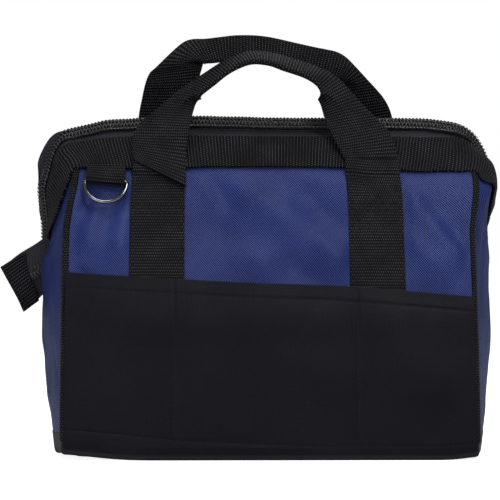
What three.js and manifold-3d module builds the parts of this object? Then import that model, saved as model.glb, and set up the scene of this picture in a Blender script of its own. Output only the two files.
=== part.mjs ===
// Zippered tool bag with a wide mouth: two folded ends, a zip that runs over the top and down both ends,
// two webbing handles, open pockets on the front and rear, and a D-ring on the front.
// Millimetres. Z is up, the front faces -Y and +X is to the right. The origin is the middle of the base, on the floor.
import * as THREE from 'three';
import { mergeVertices } from 'three/addons/utils/BufferGeometryUtils.js';
import Module from 'manifold-3d';

const wasm = await Module();
wasm.setup();

// Body of the bag
const panelWidth = 284;        // front panel between its two side seams
const baseDepth = 184;         // front to rear at the floor
const mouthDepth = 28;         // front to rear at the top edge of the mouth band
const bandTop = 225;           // height of the top edge of the mouth band
const hollowness = 0.675;      // 0 gives straight sloping sides, 1 keeps the slope for the top
const belly = 3;               // how far the middle of a panel swells
const creaseReach = 161;       // middle plane to the crease of a folded end
const footReach = 153;         // the same at the floor
const creaseHeight = 90;       // height at which the crease has its full reach
const endRoundness = 0.3;      // 0 gives ends that are flat from seam to crease
const seamStep = 0.1;          // share of an end that a seam binding takes its direction from
const fabric = 1.8;            // thickness of the padded fabric
const gap = 0.3;               // between pieces that touch

// Base
const trayHeight = 14;
const trayRound = 6;
const trayProfile = [[0, 1], [0.18, 0.33], [0.5, 0.06], [1, 0]];   // shares of the height and of the rounding
const trayInside = [0.35, 0.2];                                    // the same for the inside of its edge
const boardInset = 9;
const boardThickness = 2.5;
const boardCorner = 10;

// Pockets
const pocketHeight = 118;
const pocketDroop = 8.5;       // the top edge stands this much higher at the left and lower at the right
const pocketSwellFrom = 73;      // heights between which a pocket steps out over the straps
const pocketSwellTo = 100;
const hemHeight = 10;
const hemThickness = 0.8;
const hemStep = 1.2;           // half the height over which the hem's edge steps out

// Webbing
const bandWidth = 25;
const bandThickness = 2;
const strapWidth = 38;
const strapThickness = 1.8;
const strapSpacing = 152;      // between the middles of the two straps of a side
const strapTuck = 8;           // how far a strap runs down behind the pocket's hem
const climbLow = 6;            // below the band's lower edge, where a strap begins to step up over it
const climbHigh = 1;           // and where it has done so
const bindingReach = 2.7;      // of the seam binding along each fabric
const bindingProud = 0.9;
const bindingStop = 4.2;       // from the top of a seam binding to the band

// Mouth: each half turns on a line through the two ends of the zip
const pivotHeight = 150;
const splitHeight = 109;       // where the foot of the gathered part of an end meets the side seam
const lap = 3;                 // of fabric under webbing
const gatherStart = 0.05;      // share of an end from its crease at which the gathered part begins
const gatherLapFrom = 0.14;    // shares between which its top edge goes from beside the band to under it
const gatherLapTo = 0.4;
const bandEdgeCurve = 1.15;    // 1 makes the band's lower edge straight on an end
const rodRadius = 2;
const rodEnd = 0.03;           // share of the band that the rod leaves free at each end
const rodPlace = 0.45;         // share of the band's width at which it lies

// Zip
const zipHeight = 233.5;       // middle of the chain along the top
const zipReach = 162.5;        // middle of the chain where it runs down an end
const zipLean = 59;            // degrees that the chain along the top leans towards the front
const zipEndLean = 35;         // the same on its way down an end
const chainHalf = 5;           // half the width of the chain
const toothPitch = 2.5;
const toothReach = 1.3;        // how far a tooth passes the middle line
const toothGap = 0.55;         // between the two rows, along a tooth
const toothHeight = 2.4;
const tapeThickness = 1;
const tapeStart = 0.4;         // from the chain's middle to the tape
const tapeStep = 0.5;          // of tape beside the chain
const tapeSink = 1.2;          // from the band's edge to the tape where it goes under

// Course of the mouth on an end, from the pivot up and over to the top. For the band it lists the way in as a share
// of the corner's run, the depth as a share of half the mouth's, and the share of the way up. For the chain it lists
// the way in and the share of the way up.
const cornerRun = 25;          // from the zip's reach in to where the top is level
const bandCourse = [
  [0.18, 0.543, 0.3], [0.18, 0.571, 0.57], [0.26, 0.629, 0.79], [0.52, 0.75, 0.92], [0.96, 0.893, 0.99],
];
const chainCourse = [[0.06, 0.26], [0, 0.49], [0.1, 0.73], [0.46, 0.904], [1, 0.988]];
const startIn = 1.5;           // where the band starts: in from the crease
const startDepth = 6.2;
const startRise = 4;           // over the pivot
const innerShares = [0.17, 0.37, 0.64, 0.87];
const topStart = 0.84;         // share of the panel's half width at which the top edge is level
const cornerStart = 0.93;
const innerStart = 0.8;

// Handles. A path lists points on the middle of the webbing from left to right: x, and height above the hinge.
const hingeHeight = 208;
const gripWidth = 19;
const gripThickness = 5;
const foldFrom = 0.04;         // shares of a handle's length between which it goes from flat to folded
const foldTo = 0.22;
const webbingEdge = 0.8;       // share of the width at which the webbing starts to thin out
const webbingThin = 0.5;       // of its thickness at the edge
const frontPath = [
  [-76, 0], [-75.6, 10], [-73, 22], [-67, 33], [-60, 44], [-48, 54], [-32, 65], [-12.5, 72], [3, 71.5],
  [25, 65], [42, 55], [51, 44], [60, 31], [69, 20], [75.5, 10], [76, 0],
];
const frontLean = 12;          // middle plane to the middle of the grip
const frontTilt = 58;          // degrees that the grip's flat side turns up
const rearPath = [
  [-76, 0], [-75.5, 14], [-74, 32], [-70.5, 50], [-65.5, 64], [-58, 74], [-45, 79], [-30, 80], [-12.5, 81],
  [3, 79.5], [24, 75], [43, 70], [54, 64], [63, 54], [70, 43], [75, 28], [76, 12], [76, 0],
];
const rearLean = 5;
const rearTilt = 0;

// D-ring
const ringX = -116;
const ringTabWidth = 24;
const ringHalfWidth = 16;
const ringDepth = 20;
const ringWire = 3.2;
const ringDrop = 9;            // from the band's lower edge to the ring's straight bar
const ringClearance = 0.4;
const ringBarShares = [-0.9, -0.45, 0, 0.45, 0.9];
const ringTension = 0.4;
const loopWrap = 2.12;         // half turns at which the loop of webbing has come round the bar

// Left tail of the zip, with its folded webbing end. Heights count down from the pivot.
const tailTop = 0.5;           // where its upper edge leaves the bag
const tailFoot = 37;
const tailChainHeight = 19;    // where the middle of its chain leaves the bag
const tailChainDrop = 28;      // degrees below level
const tailChainStart = 1.2;    // from the bag to the first tooth
const tailChainLength = 10.5;
const tabUpper = [[16, 13], [30, 20]];      // corners: out from the crease, and down from the pivot
const tabLower = [[6, 47], [13.5, 52]];
const tabThickness = 5.8;
const tapeReach = 0.78;        // share of the webbing end that the tape reaches into
const tapeMargin = 0.04;       // share of its length that the tape leaves free at each side
const slotReach = 0.82;        // share that the slot for the tape reaches into
const slotExcess = 0.3;        // how far the cutting tool stands over, as a share

// Right tail of the zip, with the slider
const sliderLength = 14;
const sliderHalfWidth = 7.4;
const sliderPlate = 1.4;
const sliderStart = 5;
const sliderTravel = 18;
const rightTailHalf = 13;
const rightTailStand = 4;      // of the tail's middle off the end's fabric
const tailTopDrop = 13;        // from the pivot down to the tail's upper edge
const tailTopShare = 0.62;     // of the way from the crease to the rear seam
const tailFootShare = 0.66;
const tailFall = 45;           // height over which the tail takes that course
const tailOverhang = 6;        // of tape below the last tooth
const tailRoot = 3;            // of free tape between its seam and the slider
const tailRootLeft = 0.7;      // shares of its half width that are sewn to the end
const tailRootRight = 0.3;
const toothTail = 1.4;         // how much wider the parted rows stand than the chain
const tailToothReach = 0.9;
const toothShoulder = 0.7;     // height of a tooth's back, as a share
const dividerHalf = 1.9;
const slotHalf = 2.9;
const pullLength = 24;
const pullHalfWidth = 4.5;
const pinRadius = 1.1;
const sliderNose = 0.72;       // outline of the slider's plates, as shares of their half width and length
const sliderHeel = 0.4;
const sliderWaist = 0.4;
const sliderShoulder = 0.75;
const dividerLength = 4;
const dividerMargin = 1;
const lugWall = 1.3;
const lugWidth = 3;
const lugShare = 0.4;          // share of the slider's length at which the lug stands
const pinMargin = 0.2;
const pullThickness = 1.76;
const pullArm = 3;
const pullLap = 2.4;           // of the leaf over the arms

const halfWidth = panelWidth / 2;
const bandBottom = bandTop - bandWidth;
const strapX = strapSpacing / 2;
const wallFoot = trayHeight + gap;

const blueFabric = new THREE.MeshStandardMaterial({ color: 0x2f5fae, roughness: 0.85, metalness: 0 });
const blackFabric = new THREE.MeshStandardMaterial({ color: 0x1c1d20, roughness: 0.9, metalness: 0 });
const webbing = new THREE.MeshStandardMaterial({ color: 0x18191b, roughness: 0.8, metalness: 0 });
const coil = new THREE.MeshStandardMaterial({ color: 0x111214, roughness: 0.5, metalness: 0 });
const steel = new THREE.MeshStandardMaterial({ color: 0xc9ccd0, roughness: 0.25, metalness: 1 });
const darkSteel = new THREE.MeshStandardMaterial({ color: 0x2a2c2f, roughness: 0.4, metalness: 0.8 });
const board = new THREE.MeshStandardMaterial({ color: 0x202225, roughness: 0.7, metalness: 0 });

const bag = new THREE.Group();

const vec = (x, y, z) => new THREE.Vector3(x, y, z);
const degrees = (angle) => angle * Math.PI / 180;
const mix = (a, b, share) => a + (b - a) * share;
const steps = (from, to, count) => Array.from({ length: count + 1 }, (_, i) => mix(from, to, i / count));
const smooth = (value, from, to) => THREE.MathUtils.smoothstep(value, from, to);

// Gives a copy of each source material, so that every mesh has its own.
function addMesh(name, geometry, material) {
  const mesh = new THREE.Mesh(geometry, material.clone());
  mesh.name = name;
  bag.add(mesh);
  return mesh;
}

// Turns triangles to face outwards, going by the sign of the volume that they enclose.
function facingOut(positions, triangles) {
  let volume = 0;
  for (const [a, b, c] of triangles) {
    volume += positions[a].dot(vec(0, 0, 0).crossVectors(positions[b], positions[c]));
  }
  const index = triangles.flatMap(([a, b, c]) => (volume > 0 ? [a, b, c] : [a, c, b]));
  const geometry = new THREE.BufferGeometry();
  geometry.setAttribute('position', new THREE.Float32BufferAttribute(positions.flatMap((p) => p.toArray()), 3));
  geometry.setIndex(index);
  geometry.computeVertexNormals();
  return geometry;
}

// A closed solid from a grid of outer points and the matching grid of inner points.
function gridSolid(outer, inner) {
  const rows = outer.length;
  const columns = outer[0].length;
  const positions = [...outer.flat(), ...inner.flat()];
  const out = (i, j) => i * columns + j;
  const inn = (i, j) => rows * columns + i * columns + j;
  const triangles = [];
  const quad = (a, b, c, d) => triangles.push([a, b, c], [a, c, d]);
  for (let i = 0; i < rows - 1; i++) {
    for (let j = 0; j < columns - 1; j++) {
      quad(out(i, j), out(i, j + 1), out(i + 1, j + 1), out(i + 1, j));
      quad(inn(i, j), inn(i + 1, j), inn(i + 1, j + 1), inn(i, j + 1));
    }
    quad(out(i, 0), out(i + 1, 0), inn(i + 1, 0), inn(i, 0));
    quad(out(i, columns - 1), inn(i, columns - 1), inn(i + 1, columns - 1), out(i + 1, columns - 1));
  }
  for (let j = 0; j < columns - 1; j++) {
    quad(out(0, j), inn(0, j), inn(0, j + 1), out(0, j + 1));
    quad(out(rows - 1, j), out(rows - 1, j + 1), inn(rows - 1, j + 1), inn(rows - 1, j));
  }
  return facingOut(positions, triangles);
}

// A sheet of even thickness on the surface point(u, v). Its offsets count outwards, away from the middle of the bag.
function sheetSolid(point, us, vs, innerOffset, outerOffset) {
  const reach = 1e-3;
  const middle = vec(0, 0, splitHeight);
  const at = (offset, u, v) => (typeof offset === 'function' ? offset(u, v) : offset);
  const grid = (offset) => us.map((u) => vs.map((v) => {
    const p = point(u, v);
    const alongU = point(u + reach, v).sub(point(u - reach, v));
    const alongV = point(u, v + reach).sub(point(u, v - reach));
    const normal = alongU.cross(alongV).normalize();
    const outwards = p.clone().sub(middle).dot(normal) < 0 ? -1 : 1;
    return p.addScaledVector(normal, outwards * at(offset, u, v));
  }));
  return gridSolid(grid(outerOffset), grid(innerOffset));
}

// A closed solid through rings of equally many points, with flat ends.
function loftSolid(rings) {
  const size = rings[0].length;
  const positions = rings.flat();
  const triangles = [];
  for (let i = 0; i < rings.length - 1; i++) {
    for (let j = 0; j < size; j++) {
      const next = (j + 1) % size;
      const a = i * size + j;
      const b = i * size + next;
      triangles.push([a, b, b + size], [a, b + size, a + size]);
    }
  }
  const last = (rings.length - 1) * size;
  for (let j = 1; j < size - 1; j++) {
    triangles.push([0, j + 1, j], [last, last + j, last + j + 1]);
  }
  return facingOut(positions, triangles);
}

// The same as loftSolid, but the last ring joins the first.
function loopSolid(rings) {
  const size = rings[0].length;
  const triangles = [];
  for (let i = 0; i < rings.length; i++) {
    for (let j = 0; j < size; j++) {
      const a = i * size + j;
      const b = i * size + (j + 1) % size;
      const c = ((i + 1) % rings.length) * size + (j + 1) % size;
      const d = ((i + 1) % rings.length) * size + j;
      triangles.push([a, b, c], [a, c, d]);
    }
  }
  return facingOut(rings.flat(), triangles);
}

function solidOf(geometry) {
  const bare = new THREE.BufferGeometry();
  bare.setAttribute('position', geometry.getAttribute('position').clone());
  if (geometry.index) bare.setIndex(geometry.index.clone());
  const merged = mergeVertices(bare, 1e-4);
  return new wasm.Manifold(new wasm.Mesh({
    numProp: 3,
    vertProperties: new Float32Array(merged.getAttribute('position').array),
    triVerts: new Uint32Array(merged.index.array),
  }));
}

function geometryOf(solid) {
  const mesh = solid.getMesh();
  const geometry = new THREE.BufferGeometry();
  geometry.setAttribute('position', new THREE.BufferAttribute(new Float32Array(mesh.vertProperties), 3));
  geometry.setIndex(new THREE.BufferAttribute(new Uint32Array(mesh.triVerts), 1));
  geometry.computeVertexNormals();
  return geometry;
}

const joined = (...geometries) => geometryOf(geometries.map(solidOf).reduce((sum, solid) => sum.add(solid)));
const cut = (geometry, tool) => geometryOf(solidOf(geometry).subtract(solidOf(tool)));

// Moves a geometry from its own x, y and z onto three directions at a place.
function seated(geometry, origin, xAxis, yAxis, zAxis) {
  const matrix = new THREE.Matrix4().makeBasis(xAxis, yAxis, zAxis).setPosition(origin);
  return geometry.applyMatrix4(matrix);
}

function boxBetween(low, high) {
  const size = high.clone().sub(low);
  return new THREE.BoxGeometry(size.x, size.y, size.z).translate(...low.clone().add(high).divideScalar(2).toArray());
}

// Half the depth of the closed bag at a height.
function depthAt(z) {
  const share = z / bandTop;
  return mix(baseDepth / 2, mouthDepth / 2, (1 - hollowness) * share + hollowness * share * share);
}

function creaseX(z) {
  const short = Math.max(1 - z / creaseHeight, 0);
  return mix(creaseReach, footReach, short * short);
}

// A point of the closed bag's outside. The face is -1 at the front and 1 at the rear. The panel has w from -1 to 1,
// and an end has 1 to 2, from its seam to its crease.
function wall(face, w, z) {
  const across = Math.min(Math.abs(w), 1);
  const round = Math.max(Math.abs(w) - 1, 0);
  const x = halfWidth * across + (creaseX(z) - halfWidth) * ((1 + endRoundness) * round - endRoundness * round * round);
  const swell = belly * (1 - across * across) * Math.sin(Math.PI * Math.min(z / bandTop, 1));
  return vec(Math.sign(w) * x, face * (depthAt(z) + swell) * (1 - round), z);
}

// A point at a distance out of a panel.
function offWall(face, w, z, distance) {
  const up = wall(face, w, z + 1).sub(wall(face, w, z - 1)).normalize();
  return wall(face, w, z).add(vec(0, face * up.z, -face * up.y).multiplyScalar(distance));
}

// A point of an end, by its share of the way from the crease to the seam.
const endWall = (side, face, share, z) => wall(face, side * (2 - share), z);

// The share at which an end's fabric stops, beside the seam binding.
function endEdge(z) {
  const length = Math.hypot(creaseX(z) - halfWidth, depthAt(z));
  return 1 - (bindingReach + 2 * gap) / length;
}

const panelEdge = 1 - (bindingReach + 2 * gap) / halfWidth;

// Height of the line from the pivot down to the side seam. Fabric above it gathers when the mouth opens.
function foldLine(share) {
  const slope = (pivotHeight - splitHeight) / depthAt(splitHeight);
  let z = pivotHeight;
  for (let i = 0; i < 8; i++) z = pivotHeight - slope * share * depthAt(z);
  return z;
}

// Height of the mouth band's inner edge on an end.
const bandEdge = (share) => mix(pivotHeight, bandBottom, share ** bandEdgeCurve);

function trayRing(z, inset) {
  const shrink = (p) => vec(p.x * (1 - inset / footReach), p.y * (1 - inset * 2 / baseDepth), z);
  const panel = steps(-1, 1, 6);
  const end = [0.7, 0.35, 0, -0.35, -0.7];
  return [
    ...panel.map((w) => shrink(wall(-1, w, z))),
    ...end.map((share) => shrink(endWall(1, share > 0 ? -1 : 1, Math.abs(share), z))),
    ...panel.map((w) => shrink(wall(1, -w, z))),
    ...end.map((share) => shrink(endWall(-1, share > 0 ? 1 : -1, Math.abs(share), z))),
  ];
}

function addBase() {
  const rings = [
    ...trayProfile.map(([height, inset]) => trayRing(trayHeight * height, trayRound * inset)),
    trayRing(trayHeight, fabric),
    trayRing(trayHeight * trayInside[0], trayRound * trayInside[1] + fabric),
    trayRing(fabric, trayRound + fabric),
  ];
  addMesh('base_panel', loftSolid(rings), blackFabric);

  const halfX = halfWidth - boardInset;
  const halfY = baseDepth / 2 - boardInset;
  const r = boardCorner;
  const outline = new THREE.Shape();
  outline.absarc(halfX - r, halfY - r, r, 0, Math.PI / 2);
  outline.absarc(-halfX + r, halfY - r, r, Math.PI / 2, Math.PI);
  outline.absarc(-halfX + r, -halfY + r, r, Math.PI, Math.PI * 1.5);
  outline.absarc(halfX - r, -halfY + r, r, Math.PI * 1.5, Math.PI * 2);
  const insert = new THREE.ExtrudeGeometry(outline, { depth: boardThickness, bevelEnabled: false, curveSegments: 4 });
  addMesh('base_board', insert.translate(0, 0, fabric + gap), board);
}

function addPanel(name, face) {
  const us = steps(-panelEdge, panelEdge, 8);
  const zs = steps(wallFoot, bandBottom + lap / 2, 9);
  addMesh(`${name}_panel`, sheetSolid((w, z) => wall(face, w, z), us, zs, -fabric, 0), blueFabric);
}

// A pocket's back face stands off the panel by a strap's thickness where the straps tuck in.
function addPocket(name, face) {
  const stand = (z) => gap + (strapThickness + gap) * smooth(z, pocketSwellFrom, pocketSwellTo);
  const top = (w) => pocketHeight - pocketDroop * w;
  const height = (w, v) => mix(wallFoot, top(w), v);
  const hem = (w, v) => (top(w) - height(w, v) < hemHeight ? hemThickness : 0);
  const length = pocketHeight - wallFoot;
  const hemLow = 1 - (hemHeight + hemStep) / length;
  const hemHigh = 1 - (hemHeight - hemStep) / length;
  const vs = [...steps(0, 0.6, 3), 0.75, hemLow, hemHigh, 1];
  const inner = (w, v) => stand(height(w, v));
  const outer = (w, v) => stand(height(w, v)) + fabric + hem(w, v);
  const surface = (w, v) => wall(face, w, height(w, v));
  addMesh(`${name}_pocket`, sheetSolid(surface, steps(-panelEdge, panelEdge, 12), vs, inner, outer), blackFabric);
}

// An end below the fold line, from the front seam round the crease to the rear seam.
function addEnd(name, side) {
  const surface = (u, v) => {
    const face = u < 0 ? -1 : 1;
    const edge = Math.abs(u) * endEdge(mix(wallFoot, foldLine(Math.abs(u)), v));
    return endWall(side, face, edge, mix(wallFoot, foldLine(edge) - gap, v));
  };
  const us = [-1, -0.75, -0.5, -0.25, -0.06, 0, 0.06, 0.25, 0.5, 0.75, 1];
  addMesh(`${name}_end`, sheetSolid(surface, us, steps(0, 1, 6), -fabric, 0), blueFabric);
}

// The part of an end that gathers, between the fold line and the mouth band.
function addGather(name, side, face) {
  const surface = (u, v) => {
    const height = (share) => {
      const underBand = smooth(share, gatherLapFrom, gatherLapTo);
      const top = bandEdge(share) + mix(gap * 2 - lap, lap, underBand);
      return mix(foldLine(share) + gap, top, v);
    };
    const rough = mix(gatherStart, endEdge(splitHeight), u);
    const share = mix(gatherStart, endEdge(height(rough)), u);
    return endWall(side, face, share, height(share));
  };
  addMesh(`${name}_gather`, sheetSolid(surface, steps(0, 1, 5), steps(0, 1, 5), -fabric, 0), blueFabric);
}

// Binding tape wrapped over a side seam: a five-sided bar on the corner.
function addBinding(name, side, face) {
  const rings = steps(wallFoot, bandBottom - bindingStop, 10).map((z) => {
    const corner = wall(face, side, z);
    const alongPanel = vec(-side, 0, 0);
    const alongEnd = endWall(side, face, 1 - seamStep, z).sub(corner).setZ(0).normalize();
    const panelOut = vec(0, face, 0);
    const endOut = vec(side, 0, 0).addScaledVector(alongEnd, -side * alongEnd.x).normalize();
    const spot = (...terms) => terms.reduce((p, [way, far]) => p.addScaledVector(way, far), corner.clone());
    return [
      spot([alongPanel, bindingReach], [panelOut, bindingProud]),
      spot([panelOut, bindingProud], [endOut, bindingProud]),
      spot([alongEnd, bindingReach], [endOut, bindingProud]),
      spot([alongEnd, bindingReach], [endOut, -fabric]),
      spot([alongPanel, bindingReach], [panelOut, -fabric]),
    ];
  });
  addMesh(`${name}_binding`, loftSolid(rings), webbing);
}

// A strap lies on the panel, steps up over the mouth band and stops at the handle.
function addStrap(name, side, face) {
  const low = pocketHeight - pocketDroop * side * strapX / halfWidth - strapTuck;
  const climb = (z) => (bandThickness + gap) * smooth(z, bandBottom - climbLow, bandBottom - climbHigh);
  const surface = (u, z) => wall(face, (side * strapX + u * strapWidth / 2) / halfWidth, z);
  const inner = (u, z) => gap + climb(z);
  const outer = (u, z) => gap + climb(z) + strapThickness;
  const climbing = steps(bandBottom - climbLow, bandBottom - climbHigh, 3);
  const zs = [...steps(low, bandBottom - climbLow - bandThickness, 6), ...climbing, hingeHeight - gap];
  addMesh(`${name}_strap`, sheetSolid(surface, steps(-1, 1, 2), zs, inner, outer), webbing);
}

const mirrored = (points) => [...points, ...points.slice(0, -1).reverse().map((p) => vec(-p.x, p.y, p.z))];
const clampShare = (t) => Math.min(Math.max(t, 0), 1);
const through = (points) => new THREE.CatmullRomCurve3(points, false, 'catmullrom', 0.5);

// Three matching curves from the left end, over the top, to the right end, for the front face.
function mouthCurves(face) {
  const outerEdge = [
    vec(-creaseReach + startIn, face * startDepth, pivotHeight + startRise),
    ...bandCourse.map(([inwards, depth, share]) => vec(-zipReach + inwards * cornerRun, face * depth * mouthDepth / 2,
      mix(pivotHeight, bandTop, share))),
    ...steps(-topStart, 0, 6).map((w) => wall(face, w, bandTop)),
  ];
  const innerEdge = [
    ...innerShares.map((share) => endWall(-1, face, share, bandEdge(share))),
    wall(face, -1, bandBottom),
    wall(face, -cornerStart, bandBottom),
    ...steps(-innerStart, 0, 6).map((w) => wall(face, w, bandBottom)),
  ];
  const chain = [
    vec(-creaseReach, 0, pivotHeight + startRise),
    ...chainCourse.map(([inwards, share]) => vec(-zipReach + inwards * cornerRun, 0, mix(pivotHeight, zipHeight, share))),
    ...steps(-topStart, 0, 6).map((w) => vec(w * halfWidth, 0, zipHeight)),
  ];
  return { outer: through(mirrored(outerEdge)), inner: through(mirrored(innerEdge)), chain: through(mirrored(chain)) };
}

// Place and directions on the chain: across points towards the asked face, out away from the bag.
function chainFrame(curves, t, face) {
  const place = curves.chain.getPoint(t);
  const along = curves.chain.getTangent(t);
  const flatOut = vec(-along.z, 0, along.x).normalize();
  const upright = Math.abs(along.z);
  const lean = degrees(mix(zipLean, zipEndLean, smooth(upright, 0, 1)));
  const frontways = vec(0, -1, 0);
  const out = flatOut.clone().multiplyScalar(Math.cos(lean)).addScaledVector(frontways, Math.sin(lean));
  const across = frontways.clone().multiplyScalar(Math.cos(lean)).addScaledVector(flatOut, -Math.sin(lean));
  if (face > 0) across.negate();
  return { place, across, out };
}

function addBand(name, face, curves) {
  const surface = (t, v) => curves.outer.getPoint(clampShare(t)).lerp(curves.inner.getPoint(clampShare(t)), v);
  const ts = steps(0, 1, 36);
  addMesh(`${name}_band`, sheetSolid(surface, ts, [0, 0.5, 1], gap, gap + bandThickness), webbing);
}

// Half of the zip's tape: under the chain, then on to the band and a little way under it.
function addTape(name, face, curves) {
  const surface = (t, v) => {
    const { place, across } = chainFrame(curves, clampShare(t), face);
    const middleEdge = place.clone().addScaledVector(across, tapeStart);
    const chainEdge = place.clone().addScaledVector(across, chainHalf + tapeStep);
    const outer = curves.outer.getPoint(clampShare(t));
    const inner = curves.inner.getPoint(clampShare(t));
    const beside = outer.clone().lerp(inner, -tapeSink / bandWidth);
    const under = outer.clone().lerp(inner, lap / bandWidth);
    if (v <= 1) return middleEdge.lerp(chainEdge, v);
    if (v <= 2) return chainEdge.lerp(beside, v - 1);
    return beside.lerp(under, v - 2);
  };
  const ts = steps(0, 1, 36);
  addMesh(`${name}_zip_tape`, sheetSolid(surface, ts, [0, 1, 2, 3], -tapeThickness, 0), blackFabric);
}

// One row of the zip. Its teeth point across the middle line into the gaps of the other row.
function addTeeth(name, face, curves) {
  const length = curves.chain.getLength();
  const count = 2 * Math.round(length / toothPitch);
  const rings = steps(0, 1, count).map((share, i) => {
    const { place, across, out } = chainFrame(curves, curves.chain.getUtoTmapping(share), face);
    const zigzag = (i % 2 ? 1 : -1) * (face < 0 ? 1 : -1);
    const tip = toothGap / 2 + toothReach * zigzag;
    const spot = (a, b) => place.clone().addScaledVector(across, a).addScaledVector(out, b);
    const low = gap;
    const high = gap + toothHeight;
    return [spot(chainHalf, low), spot(chainHalf / 2, high), spot(tip, (low + high) / 2)];
  });
  addMesh(`${name}_zip_teeth`, loftSolid(rings), coil);
}

// Bent steel rod that holds a half of the mouth in shape, just inside its band.
function addRod(name, face, curves) {
  const path = steps(rodEnd, 1 - rodEnd, 30).map((t) => {
    const outer = curves.outer.getPoint(t);
    const inner = curves.inner.getPoint(t);
    const along = curves.outer.getTangent(t);
    const inwards = inner.clone().sub(outer).cross(along).normalize();
    if (inwards.dot(outer.clone().sub(vec(0, 0, splitHeight))) > 0) inwards.negate();
    return outer.lerp(inner, rodPlace).addScaledVector(inwards, rodRadius + gap / 3);
  });
  const section = new THREE.Shape().absarc(0, 0, rodRadius, 0, Math.PI * 2);
  const options = { steps: 32, curveSegments: 6, bevelEnabled: false, extrudePath: through(path) };
  const rod = new THREE.ExtrudeGeometry(section, options);
  addMesh(`${name}_mouth_rod`, rod, darkSteel);
}

// A handle: webbing that lies flat where it leaves the strap and is folded to half its width at the grip.
function addHandle(name, face, outline, lean, tilt) {
  const stack = bandThickness + 2 * gap + strapThickness / 2;
  const foot = offWall(face, strapX / halfWidth, hingeHeight + gap, stack);
  const footY = Math.abs(foot.y);
  const rise = Math.max(...outline.map(([, height]) => height));
  const path = through(outline.map(([x, height]) => vec(x, face * mix(footY, lean, height / rise), foot.z + height)));
  const planeOut = vec(0, face * rise, footY - lean).normalize();
  const rings = steps(0, 1, 32).map((share) => {
    const place = path.getPointAt(share);
    const along = path.getTangentAt(share);
    if (share === 0 || share === 1) along.set(0, 0, share === 0 ? 1 : -1);
    const fold = smooth(Math.min(share, 1 - share), foldFrom, foldTo);
    const side = along.clone().cross(planeOut).normalize().applyAxisAngle(along, face * degrees(tilt) * fold);
    const flat = side.clone().cross(along).normalize();
    const half = mix(strapWidth, gripWidth, fold) / 2;
    const thick = mix(strapThickness, gripThickness, fold) / 2;
    const spot = (a, b) => place.clone().addScaledVector(side, a).addScaledVector(flat, b);
    const thin = thick * webbingThin;
    const near = half * webbingEdge;
    return [spot(-half, -thin), spot(-half, thin), spot(-near, thick), spot(near, thick),
      spot(half, thin), spot(half, -thin), spot(near, -thick), spot(-near, -thick)];
  });
  addMesh(`${name}_handle`, loftSolid(rings), webbing);
}

// The D-ring and its webbing loop, drawn flat and then laid on the front panel below the band.
function addRing() {
  const place = wall(-1, ringX / halfWidth, bandBottom - gap);
  const below = wall(-1, ringX / halfWidth, bandBottom - ringDepth);
  const up = place.clone().sub(below).normalize();
  const across = vec(1, 0, 0);
  const out = up.clone().cross(across).negate();
  up.copy(out.clone().cross(across)).multiplyScalar(Math.sign(out.clone().cross(across).z));
  const holeRadius = ringWire / 2 + ringClearance;
  const loopRadius = holeRadius + strapThickness;
  const barOut = gap + loopRadius;

  const profile = new THREE.Shape();
  profile.moveTo(gap, 0);
  profile.lineTo(gap, -ringDrop);
  profile.absarc(barOut, -ringDrop, loopRadius, Math.PI, Math.PI * loopWrap);
  profile.lineTo(gap + strapThickness, 0);
  const hole = new THREE.Path().absarc(barOut, -ringDrop, holeRadius, 0, Math.PI * 2, true);
  profile.holes.push(hole);
  const tab = new THREE.ExtrudeGeometry(profile, { depth: ringTabWidth, bevelEnabled: false, curveSegments: 10 });
  tab.translate(0, 0, -ringTabWidth / 2);
  addMesh('ring_tab', seated(tab, place, out, up, out.clone().cross(up)), webbing);

  // The wire's middle runs along the straight bar, round a corner and along half an ellipse back to the other corner.
  const half = ringHalfWidth - ringWire / 2;
  const bow = ringDepth - ringWire * 2;
  const route = new THREE.CatmullRomCurve3([
    ...ringBarShares.map((share) => vec(share * half, 0, 0)),
    ...steps(0, Math.PI, 12).map((angle) => vec(half * Math.cos(angle), -ringWire - bow * Math.sin(angle), 0)),
  ], true, 'catmullrom', ringTension);
  const rings = steps(0, 1, 36).slice(0, -1).map((share) => {
    const middle = route.getPoint(share);
    const side = route.getTangent(share).cross(vec(0, 0, 1)).normalize();
    return steps(0, Math.PI * 2, 6).slice(0, -1).map((turn) => middle.clone()
      .addScaledVector(side, Math.cos(turn) * ringWire / 2).add(vec(0, 0, Math.sin(turn) * ringWire / 2)));
  });
  const ring = loopSolid(rings).translate(0, -ringDrop, barOut);
  addMesh('d_ring', seated(ring, place, across, up, out), steel);
}

// A flat plate across the middle plane of the bag, from the x and z of its corners.
function plateXZ(corners, thickness) {
  const outline = new THREE.Shape(corners.map(([x, z]) => new THREE.Vector2(x, z)));
  const plate = new THREE.ExtrudeGeometry(outline, { depth: thickness, bevelEnabled: false });
  return plate.rotateX(Math.PI / 2).translate(0, thickness / 2, 0);
}

// A place on the tail's webbing end: u from its inner edge to its fold, v from its upper side to its lower side.
function tabPlace(u, v) {
  const [upper, lower] = [tabUpper, tabLower].map(([inner, outer]) => [0, 1].map((i) => mix(inner[i], outer[i], u)));
  const [outwards, down] = [0, 1].map((i) => mix(upper[i], lower[i], v));
  return [-creaseReach - outwards, pivotHeight - down];
}

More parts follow.
